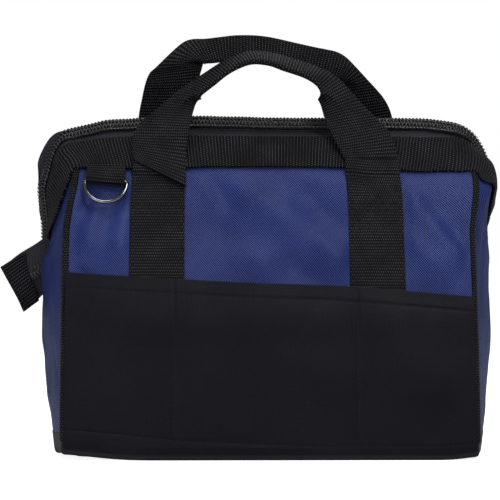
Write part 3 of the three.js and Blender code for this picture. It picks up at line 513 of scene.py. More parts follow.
for side, name in SIDES:
    def end_place(u, v, s=side):
        u = 2 * u - 1
        share = np.abs(u) * end_edge(mix(WALL_FOOT, fold_line(np.abs(u)), v))
        z = mix(WALL_FOOT, fold_line(share) + 0.5, v)
        return np.where(u[..., None] < 0, end_wall(s, -1, share, z), end_wall(s, 1, share, z))

    def end_stand(u, v, s=side):
        across = 2 * u - 1
        dents = 0.9 * ripples(across * 80, v * 120, 42, 50 + s) + 0.25 * ripples(across * 80, v * 120, 16, 60 + s)
        calm = smooth(1 - np.abs(across), 0, 0.15) * smooth(v, 0, 0.2)
        return 0.7 * dents * calm - 1.0 * np.exp(-(across / 0.05) ** 2) - 0.3

    end = sheet(f"{name}_end_cloth", (120, 70), end_place, FABRIC - 0.4, BLUE_POLYESTER,
                stand=end_stand, edge=0)
    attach(end, "bag_body")
    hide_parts(f"{name}_end")

    for face, face_name in FACES:
        def gather_place(u, v, s=side, f=face):
            def height(share):
                low = fold_line(share) - 0.6
                high = band_edge(share) + mix(-0.6 * LAP, LAP, smooth(share, 0.1, 0.4))
                return mix(low, np.maximum(high, low + 1.0), v)
            share = u * end_edge(height(0.93 * u))
            return end_wall(s, f, share, height(share))

        def gather_stand(u, v, s=side, f=face):
            dents = 0.8 * ripples(u * 60, v * 60, 24, 70 + s + 2 * f)
            return dents * smooth(u, 0, 0.25) * smooth(1 - u, 0, 0.15) * np.sin(np.pi * np.clip(v, 0, 1)) - 0.35

        gather = sheet(f"{face_name}_{name}_gather_cloth", (44, 44), gather_place, FABRIC - 0.4, BLUE_POLYESTER,
                       stand=gather_stand, edge=0)
        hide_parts(f"{face_name}_{name}_gather")
        bends_with_mouth(gather)

# ---- Pockets
# A sheet of black polyester over the lower half of the front and rear. It is sewn down at its sides, along its foot and
# along two dividers, has a 10 mm hem with one row of stitches, and stands out over the ends of the straps.

POCKET = 118
DROOP = 8.5
HEM = 10
DIVIDERS = (-66, 60)
POCKET_FOOT = 4
STRAP_STEP = 2.1


def pocket_top(w):
    return POCKET - DROOP * w + 2.0 * np.exp(-((w - 0.4) / 0.38) ** 2)


def pocket_seam(x):
    """Height of the seam along the pocket's foot, which runs down to the right."""
    return np.interp(x, [-142, -100, -60, 40, 142], [17, 17, 13, 9, 9])


def pocket_stand(w, z, face):
    x = w * PANEL_HALF
    under = pocket_top(w) - z
    step = GAP + STRAP_STEP * smooth(z, 73, 100)
    side = np.minimum(np.abs(x - DIVIDERS[0]), np.abs(x - DIVIDERS[1]))
    side = np.minimum(side, PANEL_EDGE * PANEL_HALF - np.abs(x) + 4)
    puff = 1.2 * smooth(side, 0, 24) * smooth(z, 16, 60) * smooth(under, 0, 36)
    hem = 0.35 * (1 - smooth(under, HEM - 1, HEM + 0.4)) - 0.3 * np.exp(-((under - HEM) / 0.7) ** 2)
    seams = -0.8 * sum(np.exp(-((x - d) / 0.9) ** 2) for d in DIVIDERS) * smooth(under, -2, 4) * smooth(z, 12, 20)
    foot = -0.7 * np.exp(-((z - pocket_seam(x * -face)) / 1.0) ** 2)
    dents = 0.5 * ripples(x, z, 62, 90 + face) + 0.12 * ripples(x, z, 20, 95 + face)
    dents += 0.8 * fold(x, z, (-110, 82), (-30, 96), 9) - 0.7 * fold(x, z, (-120, 66), (-20, 74), 10)
    dents += 0.8 * fold(x, z, (-50, 88), (40, 60), 11) + 0.6 * fold(x, z, (70, 90), (120, 50), 10)
    dents -= 0.6 * fold(x, z, (-20, 50), (60, 38), 10)
    return step + FABRIC + puff + hem + seams + foot + dents * smooth(side, 0, 14) * smooth(z, 8, 24) * 0.8


for face, name in FACES:
    def pocket_place(u, v, f=face):
        w = mix(-PANEL_EDGE, PANEL_EDGE, u)
        return wall(f, w, mix(POCKET_FOOT, pocket_top(w), v))

    def stand(u, v, f=face):
        w = mix(-PANEL_EDGE, PANEL_EDGE, u)
        z = mix(POCKET_FOOT, pocket_top(w), v)
        tucked = -1.2 * (1 - smooth(z, POCKET_FOOT, 9))
        return pocket_stand(w, z, f) + tucked

    pocket = sheet(f"{name}_pocket_cloth", (250, 120), pocket_place, FABRIC - 0.5, BLACK_POLYESTER,
                   stand=stand, edge=0.2)
    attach(pocket, "bag_body")
    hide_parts(f"{name}_pocket")

# Bonded nylon thread: dark, smooth and slightly shiny.
thread_nylon = speckled("bonded_nylon_thread", "060608", "1A1A1E", 1500, 1.0, 0, Roughness=0.55,
                        Specular_IOR_Level=0.25)


def wires(name, runs, radius, material, closed=False, roundness=2):
    """Round wires or threads through runs of points, made as one piece. A run may list its own radii."""
    curve = bpy.data.curves.new(name, "CURVE")
    curve.dimensions = "3D"
    curve.bevel_depth = radius * MM
    curve.bevel_resolution = roundness
    curve.use_fill_caps = True
    for run in runs:
        run = np.asarray(run, float)
        line = curve.splines.new("POLY")
        line.points.add(len(run) - 1)
        line.use_cyclic_u = closed
        for knot, spot in zip(line.points, run):
            knot.co = (*(spot[:3] * MM), 1)
            knot.radius = spot[3] if len(spot) > 3 else 1
    holder = bpy.data.objects.new(name, curve)
    mesh = bpy.data.meshes.new_from_object(holder)
    bpy.data.objects.remove(holder)
    bpy.data.curves.remove(curve)
    bm = bmesh.new()
    bm.from_mesh(mesh)
    bpy.data.meshes.remove(mesh)
    bmesh.ops.recalc_face_normals(bm, faces=bm.faces[:])
    return finish(bm, name, material, 60)


def evenly(line, count):
    """Samples a line of points again at equal lengths."""
    run = np.concatenate([[0], np.linalg.norm(np.diff(line, axis=0), axis=-1).cumsum()])
    at = np.linspace(0, run[-1], count)
    return np.stack([np.interp(at, run, line[:, k]) for k in range(line.shape[1])], -1)


def stitches(name, lines, pitch, radius):
    """Rows of sewn stitches, each a short arched piece of thread that dips into the cloth at both ends."""
    runs = []
    for line in lines:
        line = np.asarray(line, float)
        count = max(int(np.linalg.norm(np.diff(line, axis=0), axis=-1).sum() / pitch), 1)
        fine = evenly(line, count * 6 + 1)
        for k in range(count):
            part = evenly(fine[k * 6:k * 6 + 5], 5)
            runs.append(np.hstack([part, [[0.5], [0.9], [1], [0.9], [0.5]]]))
    return wires(name, runs, radius, thread_nylon, roundness=1)


def raised(surface, u, v, height, inside=(0, 0, SPLIT)):
    """Points at a height over surface(u, v), slumped with it."""
    u, v, height = (np.asarray(k, float) for k in np.broadcast_arrays(u, v, height))
    place, normal = out_of(surface, u, v, inside)
    return slumped(place + normal * height[..., None])


for face, name in FACES:
    def on_pocket(w, z, f=face):
        return wall(f, w, z)

    across = np.linspace(-0.965, 0.965, 240)
    seams = [(across, pocket_top(across) - HEM)]
    for divider in DIVIDERS:
        w = np.full(90, divider / PANEL_HALF)
        seams.append((w, np.linspace(20, pocket_top(w[0]) - 2, 90)))
    seams.append((across, pocket_seam(across * PANEL_HALF * -face)))
    lines = [raised(on_pocket, w, z, pocket_stand(w, z, face) + 0.1) for w, z in seams]
    sewn = stitches(f"{name}_pocket_stitches", lines, 2.8, 0.2)
    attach(sewn, "bag_body")

# ---- Seam bindings
# The four upright seams are bound with a narrow ribbed tape folded over the raw edges, from the tray to the band. Each
# is proud of the cloth on both sides of its corner.


def webbing(name, dark, light, rib, cord, depth):
    """Woven tape. Ribs cross it, each a row of small raised loops of yarn that stand between those of the next rib. The
    loops of the finest tape are drawn as coarse as those of the widest, so that they show."""
    made, tree, shader = new_finish(name, Roughness=0.5, Specular_IOR_Level=0.12)
    uv = add_node(tree, "TexCoord", {}, 2)
    place = add_node(tree, "TexCoord", {}, 3)
    apart = add_node(tree, "SeparateXYZ", {0: uv}).node.outputs
    row = add_node(tree, "Math", {0: apart[1], 1: 1 / (rib * MM)}, operation="MULTIPLY")
    row = add_node(tree, "Math", {0: row}, operation="FLOOR")
    row = add_node(tree, "Math", {0: row, 1: 2.0}, operation="FLOORED_MODULO")
    along = add_node(tree, "Math", {0: row, 1: cord / 2 * MM, 2: apart[0]}, operation="MULTIPLY_ADD")
    staggered = add_node(tree, "CombineXYZ", {0: along, 1: apart[1]})
    cords = add_node(tree, "TexWave", {"Vector": staggered, "Scale": WAVE / (cord * MM)}, 1, bands_direction="X")
    ribs = add_node(tree, "TexWave", {"Vector": uv, "Scale": WAVE / (rib * MM)}, 1, bands_direction="Y")
    # Painted highlight: the loops' crowns come out lighter than the gaps between them, patchy under broad noise.
    loops = add_node(tree, "Math", {0: cords, 1: 0.65, 2: 0.35}, operation="MULTIPLY_ADD")
    loops = add_node(tree, "Math", {0: loops, 1: ribs}, operation="MULTIPLY")
    fuzz = add_node(tree, "TexNoise", {"Vector": place, "Scale": 1400, "Detail": 2.0})
    wear_and_sheen = add_node(tree, "TexNoise", {"Vector": place, "Scale": 60, "Detail": 2.0})
    wear_and_sheen = add_node(tree, "Math", {0: wear_and_sheen, 1: 0.4, 2: 0.3}, operation="MULTIPLY_ADD")
    tone = add_node(tree, "Math", {0: loops, 1: wear_and_sheen}, operation="MULTIPLY")
    tone = add_node(tree, "Math", {0: fuzz, 1: 0.1, 2: tone}, operation="MULTIPLY_ADD")
    tone = add_node(tree, "MapRange", {0: tone, 1: 0.25, 2: 0.57, 3: 0.0, 4: 1.0})
    colour = add_node(tree, "Mix", {0: tone, 6: to_linear(dark), 7: to_linear(light)}, 2, data_type="RGBA")
    tree.links.new(colour, shader.inputs["Base Color"])
    height = add_node(tree, "Math", {0: fuzz, 1: 0.15, 2: loops}, operation="MULTIPLY_ADD")
    tree.links.new(add_node(tree, "Bump", {"Height": height, "Distance": depth * MM}), shader.inputs["Normal"])
    return made


# Ribbed polyester tape: black, and its ribs show as fine light lines across it, painted highlights on its loops.
BINDING_TAPE = webbing("ribbed_binding_tape", "020203", "4A4A50", 1.9, 1.8, 0.9)
BINDING_REACH = 3.0
RIGHT_REACH_CUT = 1.1
BINDING_THICK = 1.3

for face, face_name in FACES:
    for side, name in SIDES:
        def binding_place(u, v, s=side, f=face):
            z = mix(WALL_FOOT - 5, BAND_BOTTOM + 1, v)
            corner = wall(f, s, z)
            along_end = end_wall(s, f, 0.9, z) - corner
            along_end[..., 2] = 0
            along_end = unit(along_end)
            end_out = unit(points(s, 0, 0) - along_end * s * along_end[..., :1])
            panel_out = points(0, f, 0)
            side_share = 2 * np.asarray(u, float) - 1
            far = np.abs(side_share)[..., None]
            on_panel = side_share[..., None] < 0
            way = np.where(on_panel, points(-s, 0, 0), along_end)
            out = np.where(on_panel, panel_out, end_out)
            corner_out = unit(panel_out + end_out)
            lift = 1.25 - 0.85 * smooth(far, 0.72, 1.0)
            bend = smooth(far, 0, 0.35)
            reach = BINDING_REACH - RIGHT_REACH_CUT * (on_panel & (s > 0))
            return corner + way * far * reach + unit(mix(corner_out, out, bend)) * lift

        binding = sheet(f"{face_name}_{name}_binding_tape", (12, 120), binding_place, BINDING_THICK, BINDING_TAPE,
                        edge=0.2)
        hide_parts(f"{face_name}_{name}_binding")
        bends_with_mouth(binding)

# ---- Straps
# Two straps of 38 mm black polypropylene webbing on each face come up out of the pocket, over the panel and the mouth
# band, and run on into the handle. They are sewn down along both edges and with a block of bar tacks.

STRAP = 38
STRAP_THICK = 1.8
STRAP_X = 76
TUCK = 8
HINGE = 208
STRAP_TOP = HINGE + 2
BAND_THICK = 2
LEFT_LEAN = -1.9
RIGHT_LEAN = -1.2
RIGHT_PULL = -1.7

# Polypropylene webbing: black, coarse and ribbed, and the crowns of its loops are painted grey, a painted highlight.
WEBBING = webbing("polypropylene_webbing", "020203", "4F4F57", 2.2, 1.6, 1.0)


def strap_lean(face, side, z):
    """Both straps of the front are sewn a little to the left, and the right one is pulled further over at its top."""
    if face > 0:
        return 0 * z
    return RIGHT_LEAN + RIGHT_PULL * smooth(z, 176, HINGE) if side > 0 else LEFT_LEAN + 0 * z


def strap_stand(u, z):
    climb = (BAND_THICK + GAP) * smooth(z, BAND_BOTTOM - 6, BAND_BOTTOM - 1)
    sewn = -0.35 * smooth(z, 168, 169.5) * (1 - smooth(z, 173.5, 175))
    return GAP + climb + STRAP_THICK + sewn + 0.2 * ripples(u * 19, z, 30, 7)


for face, face_name in FACES:
    for side, name in SIDES:
        low = POCKET - DROOP * side * STRAP_X / PANEL_HALF - TUCK

        def strap_place(u, v, s=side, f=face, bottom=low):
            z = mix(bottom, STRAP_TOP, v)
            return wall(f, (s * STRAP_X + (u - 0.5) * STRAP + strap_lean(f, s, z)) / PANEL_HALF, z)

        def stand(u, v, bottom=low):
            return strap_stand(2 * u - 1, mix(bottom, STRAP_TOP, v))

        strap = sheet(f"{face_name}_{name}_strap_webbing", (22, 110), strap_place, STRAP_THICK, WEBBING,
                      stand=stand, edge=0.4)
        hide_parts(f"{face_name}_{name}_strap")
        bends_with_mouth(strap)

        share = np.linspace(0.02, 0.86, 90)
        lines = [raised(strap_place, edge, share, stand(edge, share) + 0.05) for edge in (0.06, 0.94)]
        across = np.linspace(0.08, 0.92, 30)
        for z in np.arange(168.5, 176, 1.15):
            share = np.full(30, (z - low) / (STRAP_TOP - low))
            lines.append(raised(strap_place, across, share, stand(across, share) + 0.05))
        sewn = stitches(f"{face_name}_{name}_strap_stitches", lines, 2.6, 0.34)
        bends_with_mouth(sewn)

# ---- Mouth bands
# Each half of the mouth is edged with a 25 mm band of the same webbing, bent round both top corners and down the ends.
# Its ribs stand upright, and its lower edge laps over the panel. A spring steel rod inside keeps the shape.

BAND = 25
ZIP_HEIGHT = 233.5
ZIP_REACH = 162.5
CORNER_RUN = 25
BAND_DROP = 2.2
STITCH_ROW = 0.3

# How far each half bulges past the zip, at the right end in front and at the left end behind.
BULGES = {-1: 5.2, 1: 6.5}

# How far the front band and the zip have sunk in at the left corner, and how far the rear band stands out there.
FRONT_SUNK = -4.6
ZIP_SUNK = -3.2
REAR_OUT = 8.5


def spline(knots, count):
    """Samples a smooth curve through points."""
    p = np.asarray(knots, float)
    p = np.vstack([2 * p[0] - p[1], p, 2 * p[-1] - p[-2]])
    t = np.linspace(0, len(p) - 3 - 1e-9, count)
    i = np.minimum(t.astype(int), len(p) - 4)
    f = (t - i)[:, None]
    a, b, c, d = p[i], p[i + 1], p[i + 2], p[i + 3]
    return 0.5 * (2 * b + (c - a) * f + (2 * a - 5 * b + 4 * c - d) * f ** 2 + (3 * b - a - 3 * c + d) * f ** 3)


def both_ways(knots):
    knots = np.asarray(knots, float)
    return np.vstack([knots, knots[:-1][::-1] * np.array([-1, 1, 1])])


def push(line, far):
    """Moves a line of the mouth out of the bag, square to itself."""
    along = unit(np.gradient(line, axis=0))
    line += points(-along[:, 2], 0, along[:, 0]) * far[:, None]


def mouth_lines(face):
    """The band's upper and lower edges and the middle of the zip, from the left end over the top to the right end.
    The front band bulges past the zip at the right end, and the rear band at the left end. At the left corner the
    front band and the zip have sunk in, and the rear band stands out. The lowest part at the right leans back."""
    upper = [(-CREASE + 1.2, face * 3.5, PIVOT - 1), (-CREASE + 1.2, face * 6.2, PIVOT + 6)]
    for inwards, depth, share in ((0.18, 0.543, 0.3), (0.18, 0.571, 0.57), (0.26, 0.629, 0.79), (0.52, 0.75, 0.92),
                                  (0.96, 0.893, 0.99)):
        upper.append((-ZIP_REACH + inwards * CORNER_RUN, face * depth * MOUTH_DEPTH / 2, mix(PIVOT, BAND_TOP, share)))
    upper = np.vstack([upper, wall(face, np.linspace(-0.84, 0, 7), BAND_TOP - BAND_DROP)])
    shares = np.array([0.03, 0.17, 0.37, 0.64, 0.87])
    lower = np.vstack([end_wall(-1, face, shares, band_edge(shares)), wall(face, [-1, -0.93], BAND_BOTTOM),
                       wall(face, np.linspace(-0.8, 0, 7), BAND_BOTTOM)])
    chain = [(-CREASE, 0, PIVOT + 1)]
    for inwards, share in ((0.06, 0.26), (0, 0.49), (0.1, 0.73), (0.46, 0.904), (1, 0.988)):
        chain.append((-ZIP_REACH + inwards * CORNER_RUN, 0, mix(PIVOT, ZIP_HEIGHT, share)))
    chain = np.vstack([chain, points(np.linspace(-0.84, 0, 7) * PANEL_HALF, 0, ZIP_HEIGHT)])
    upper, lower, chain = (spline(both_ways(line), 1200) for line in (upper, lower, chain))
    bulge = smooth(upper[:, 2], 150, 174) * (1 - smooth(upper[:, 2], 205, 219)) * (upper[:, 0] * -face > 0)
    upper[:, 0] -= face * BULGES[face] * bulge
    for line, sunk in ((upper, FRONT_SUNK if face < 0 else 0), (chain, ZIP_SUNK)):
        push(line, smooth(-line[:, 0], 114, 142) * smooth(line[:, 2], 184, 206) * sunk)
    if face > 0:
        push(upper, REAR_OUT * np.exp(-((upper[:, 0] + 151) ** 2 + (upper[:, 2] - 221) ** 2) / (2 * 12.0 ** 2)))
    for line, inwards in ((upper, 4), (chain, 6)):
        tucked = (1 - smooth(line[:, 2], 150, 174)) * (line[:, 0] > 0)
        line[:, 0] -= inwards * tucked
        line[:, 1] += 4 * tucked
    return upper, lower, chain


def along_line(line, share):
    """Places on a sampled line by their share of its samples, also a little past its ends."""
    at = np.asarray(share, float) * (len(line) - 1)
    i = np.clip(at.astype(int), 0, len(line) - 2)
    return line[i] + (line[i + 1] - line[i]) * (at - i)[..., None]


def on_band(face):
    """Gives the function that finds places on a band, from its upper edge to its lower and from left to right."""
    upper, lower = mouth_lines(face)[:2]
    return lambda v, u: mix(along_line(upper, u), along_line(lower, u), np.asarray(v, float)[..., None])


def band_profile(v):
    """The band's height over its width: a slight swell, and a groove at its row of stitches."""
    return 0.15 * np.sin(np.pi * v) - 0.3 * np.exp(-((v - STITCH_ROW) / 0.03) ** 2)


for face, name in FACES:
    band_place = on_band(face)

    def stand(v, u):
        ends = smooth(np.minimum(u, 1 - u), 0, 0.03)
        return GAP + BAND_THICK + band_profile(v) + 0.35 * ends * ripples(u * 620, v * 25, 46, 21)

    band = sheet(f"{name}_band_webbing", (16, 360), band_place, BAND_THICK - 0.3, WEBBING, stand=stand,
                 edge=0.45)
    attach(band, name + "_mouth")
    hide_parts(f"{name}_band")

    share = np.linspace(0.03, 0.97, 900)
    lines = [raised(band_place, STITCH_ROW, share, stand(STITCH_ROW, share) + 0.1)]
    sewn = stitches(f"{name}_band_stitches", lines, 2.8, 0.22)
    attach(sewn, name + "_mouth")

# Blued spring steel: dark, smooth and half bright.
spring_steel = speckled("blued_spring_steel", "26272B", "45474C", 900, 2.0, 0, Roughness=0.38, Metallic=1.0)

ROD = 2
for face, name in FACES:
    run = raised(on_band(face), 0.45, np.linspace(0.03, 0.97, 160), -(ROD + 0.1))
    rod = wires(f"{name}_spring_rod", [run], ROD, spring_steel, roundness=4)
    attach(rod, name + "_mouth")
    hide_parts(f"{name}_mouth_rod")

# ---- Zip
# A nylon coil zip, 10 mm wide in the chain, with a 2.5 mm pitch. Each row is one filament wound round a filler cord and
# sewn to the edge of its woven tape with a line of thread. The tape is sewn under the upper edge of the band.

CHAIN_HALF = 5
PITCH = 2.5
TAPE_THICK = 0.9
COIL_WIRE = 0.5

# How far the zip leans over towards the front, in degrees, along the top and down the ends.
ZIP_LEAN = 72
ZIP_END_LEAN = 35

# Woven zip tape: dull black, a little lighter than the bands, with an upright weave.
ZIP_TAPE = polyester("woven_zip_tape", "101013", "3A3A42", 1.22, 0.12, 0, 0.12, 0.12)

# Nylon monofilament: black, smooth enough that every loop has a small highlight.
coil_nylon = speckled("nylon_monofilament", "131316", "2E2E34", 700, 2.0, 0.03, Roughness=0.34,
                      Specular_IOR_Level=0.55)

# One loop of the coil: its distance from the chain's middle, its height, its share of a pitch and its thickness.
LOOP = np.array([
    (4.3, 1.0, 0.0, 1), (4.0, 1.7, -0.1, 1), (3.0, 2.1, -0.3, 1), (1.4, 2.1, -0.5, 1), (0.2, 2.0, -0.66, 1.05),
    (-0.7, 1.8, -0.76, 1.15), (-0.9, 1.2, -0.8, 1.2), (-0.3, 0.8, -0.84, 1.1), (1.6, 0.65, -0.9, 1),
    (3.6, 0.7, -0.96, 1),
])


def chain_directions(chain, face):
    """At each point of the zip's middle: across towards a face, and out of the bag."""
    along = unit(np.gradient(chain, axis=0))
    flat_out = unit(points(-along[:, 2], 0, along[:, 0]))
    lean = np.radians(mix(ZIP_LEAN, ZIP_END_LEAN, smooth(np.abs(along[:, 2]), 0, 1)))[:, None]
    front = np.array([0, -1.0, 0])
    out = flat_out * np.cos(lean) + front * np.sin(lean)
    across = front * np.cos(lean) - flat_out * np.sin(lean)
    return (across if face < 0 else -across), out


def coil_run(line, across, out, count, first):
    """The path of a filament that makes a count of loops along a line."""
    run = np.concatenate([[0], np.linalg.norm(np.diff(line, axis=0), axis=-1).cumsum()])
    path = []
    for k in range(count):
        for far, high, share, thick in LOOP:
            at = np.clip(np.searchsorted(run, first + (k - share) * PITCH), 0, len(line) - 1)
            path.append([*(line[at] + across[at] * far + out[at] * (high + 0.1)), thick])
    return np.array(path)


for face, name in FACES:
    upper, lower, chain = mouth_lines(face)
    across, out = chain_directions(chain, face)
    beside_chain = chain + (across * (CHAIN_HALF + 0.7) if face < 0 else across * (CHAIN_HALF - 0.7) - out * 1.3)
    sunk = mix(upper, lower, -1.2 / BAND)
    under = mix(upper, lower, LAP / BAND)
    rows = np.stack([chain + across * 0.3, chain + across * 3, beside_chain, mix(beside_chain, sunk, 0.5), sunk, under])

    def tape_place(v, u, lines=rows):
        spots = np.stack([along_line(line, u) for line in lines])
        at = np.clip(np.asarray(v, float), 0, 1) * (len(lines) - 1)
        i = np.clip(at.astype(int), 0, len(lines) - 2)
        pick = np.arange(len(at))
        return mix(spots[i, pick], spots[i + 1, pick], (at - i)[..., None])

    def stand(v, u):
        return 0.35 * np.exp(-((v - 0.6) / 0.12) ** 2)

    tape = sheet(f"{name}_zip_tape_cloth", (10, 360), tape_place, TAPE_THICK, ZIP_TAPE,
                 stand=stand, edge=0)
    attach(tape, name + "_mouth")
    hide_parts(f"{name}_zip_tape")

    dense = evenly(slumped(chain), 4000)
    across, out = chain_directions(dense, face)
    length = np.linalg.norm(np.diff(dense, axis=0), axis=-1).sum()
    total = int(length / PITCH) - 1
    filament = coil_run(dense, across, out, total, 1.0 + (0 if face < 0 else PITCH / 2))
    core = (dense + across * 3.0 + out * 1.2)[8:-8:8]
    core = np.hstack([core, np.full((len(core), 1), 2.2)])
    coil = wires(f"{name}_zip_coil", [filament, core], COIL_WIRE, coil_nylon, roundness=1)
    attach(coil, name + "_mouth")
    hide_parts(f"{name}_zip_teeth")

    lines = [(dense + across * 3.6 + out * 2.7)[20:-20]]
    sewn = stitches(f"{name}_coil_stitches", lines, PITCH, 0.24)
    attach(sewn, name + "_mouth")

# ---- Handles
# Each handle is one length of the 38 mm webbing. It lies flat where it leaves the straps and is folded in half along
# its length for the grip. The front one has fallen outwards, and the rear one stands up and bends over sharply.

# Stations from the left foot to the right: x, z and y of the outer edge, the same of the inner edge, and how far the
# inner half has folded behind, from 0 to 1.
FRONT_STATIONS = [
    (-95.2, 206.5, -30.2, -57.8, 187.5, -41, 0), (-96.6, 213.6, -27.4, -58, 205.5, -31, 0),
    (-95.9, 222.9, -24.7, -56.9, 222.2, -24.8, 0), (-90.8, 233, -22.2, -55.3, 231.6, -22.6, 0.02),
    (-83, 239.5, -20.8, -53.9, 238.5, -20.4, 0.08), (-75.3, 246.5, -18.6, -52.5, 245, -18.8, 0.2),
    (-68.2, 252.6, -16.8, -51, 250.4, -18.6, 0.38), (-62.5, 257.7, -15, -48.2, 253.6, -19.5, 0.55),
    (-54.7, 262.8, -12, -44, 257.7, -20.5, 0.75), (-46.2, 268.5, -10, -38.3, 262.4, -21.5, 0.9),
    (-37.6, 274.2, -8.5, -31.2, 268.4, -22, 0.97), (-29.8, 278.9, -7.5, -24.1, 272.8, -22, 1),
    (-21.2, 282.8, -7, -16.2, 276.2, -22, 1), (-12.7, 284.9, -7, -9.8, 277.4, -22, 1),
    (-4.1, 285, -7, -3.4, 277, -22, 1), (4.4, 283.6, -7, 3, 275.8, -22, 1),
    (13.7, 281.2, -7, 10.8, 272.8, -22, 1), (23, 278.4, -7, 19.4, 270, -22, 1),
    (31.5, 275.5, -7.5, 26.5, 267.4, -22, 0.97), (39.4, 272.2, -8.5, 32.4, 264, -21.5, 0.9),
    (46, 268.9, -10, 36.6, 260, -20.8, 0.75), (51.5, 264.7, -12, 38.4, 255, -20.2, 0.55),
    (57, 258.8, -14.6, 38.6, 249, -20, 0.35), (66, 248, -18.2, 39.4, 241, -20.8, 0.15),
    (74.4, 239.2, -20.6, 41.4, 233, -22.4, 0.05), (81.6, 232.2, -22.1, 44.6, 225.6, -24, 0),
    (86.4, 225.8, -23.8, 47.9, 218.7, -25.6, 0), (89.8, 217.3, -26, 50.8, 212.6, -27, 0),
    (91, 208, -28.6, 53, 208, -28.6, 0),
]
REAR_STATIONS = [
    (-95, 208, 28.6, -57, 208, 28.6, 0), (-94.6, 220, 25.5, -56.8, 220, 25.5, 0),
    (-93.8, 232, 22.4, -56, 232, 22.4, 0), (-92.7, 242.2, 19.2, -55, 242.3, 19.2, 0),
    (-90.5, 252.9, 15.6, -52.8, 252.9, 15.6, 0), (-88.2, 262.7, 12.2, -49.9, 264.2, 11.7, 0),
    (-85.3, 270, 9.6, -46.8, 275, 8.4, 0), (-80.6, 274.6, 7.4, -46, 277.6, 6.4, 0.1),
    (-68.4, 286.4, 6.6, -45.8, 278, 5.6, 0.45), (-60.2, 293.2, 7.4, -45, 278.2, 4.8, 0.7),
    (-53.5, 295.4, 8.2, -43, 278.6, 4.2, 0.85), (-44.8, 295.7, 8.8, -38.6, 279, 4, 0.95),
    (-34.7, 296.9, 9, -32, 279.7, 4, 1), (-24.6, 298.1, 9, -24.4, 279.9, 4, 1),
    (-16, 298.4, 9, -15.9, 279.8, 4, 1), (-7.3, 298.1, 9, -8, 279.4, 4, 1),
    (3.5, 296.7, 9, 2.1, 278, 4, 1), (20.1, 293, 9, 16.6, 274.8, 4.2, 1),
    (34.6, 289.8, 9, 30.3, 272, 4.6, 1), (43.2, 288.1, 8.8, 38.6, 269.9, 5, 0.95),
    (50.4, 286.4, 8.6, 45.4, 268.3, 5.8, 0.85), (57, 282.6, 8.4, 50.8, 267.2, 7, 0.7),
    (64, 275.8, 8.8, 54.6, 265.6, 9, 0.5), (72.2, 267.2, 10.9, 57, 262, 11.2, 0.25),
    (79.9, 259.2, 13.6, 58.4, 256, 13.8, 0.1), (85.6, 252.4, 15.9, 58.8, 248, 16.8, 0.03),
    (89.8, 244.4, 18.5, 58.6, 239, 19.8, 0), (92.6, 234, 21.8, 58, 229, 22.8, 0),
    (94.4, 221, 25.4, 57.4, 218, 26.2, 0), (95, 208, 28.6, 57, 208, 28.6, 0),
]
FOLD_RADIUS = 1.15

# The strip's section as a closed loop: share of its width, and side, from 1 in front to -1 behind.
FRONT_SIDE = [(share, 1.0) for share in np.linspace(0.012, 0.988, 34)]
SECTION = np.array(FRONT_SIDE + [(0.998, 0.6), (1, 0), (0.998, -0.6)] + [(share, -1.0) for share, _ in FRONT_SIDE[::-1]]
                   + [(0.002, -0.6), (0, 0), (0.002, 0.6), FRONT_SIDE[0]])


def strip_place(table, share, side, along_share):
    """One half of the strip lies from its outer edge inwards. The other turns round the fold and lies behind it."""
    row = along_line(table, along_share)
    outer, inner = row[..., [0, 2, 1]], row[..., [3, 5, 4]]
    way = along_line(table, along_share + 0.012) - along_line(table, along_share - 0.012)
    across = unit(inner - outer)
    back = unit(np.cross(across, unit(way[..., [0, 2, 1]] + way[..., [3, 5, 4]])))
    back = np.where(back[..., 1:2] < 0, -back, back)
    folded = np.clip(row[..., 6], 0, 1)
    turn = np.pi * folded
    seen = np.linalg.norm(inner - outer, axis=-1)
    half = np.where(folded < 0.5, (seen - FOLD_RADIUS * np.sin(turn)) / np.maximum(1 + np.cos(turn), 1),
                    seen - FOLD_RADIUS)
    gather = 0.14 * folded
    run = np.where(share < 0.5 - gather, share / (0.5 - gather) * half,
                   np.where(share > 0.5 + gather,
                            half + FOLD_RADIUS * turn + (share - 0.5 - gather) / (0.5 - gather) * half,
                            half + FOLD_RADIUS * turn * (share - 0.5 + gather) / np.maximum(2 * gather, 1e-6)))
    bent = np.clip((run - half) / FOLD_RADIUS, 0, turn)
    rest = np.maximum(run - half - FOLD_RADIUS * turn, 0)
    off = -side * STRAP_THICK / 2
    x = np.minimum(run, half) + FOLD_RADIUS * np.sin(bent) + rest * np.cos(turn) - off * np.sin(bent)
    y = FOLD_RADIUS * (1 - np.cos(bent)) + rest * np.sin(turn) + off * np.cos(bent)
    y = y - rest * np.sin(turn) * 0.55 - folded * 0.5 * np.sin(np.pi * np.clip(run / half, 0, 1))
    return outer + across * x[..., None] + back * y[..., None], run


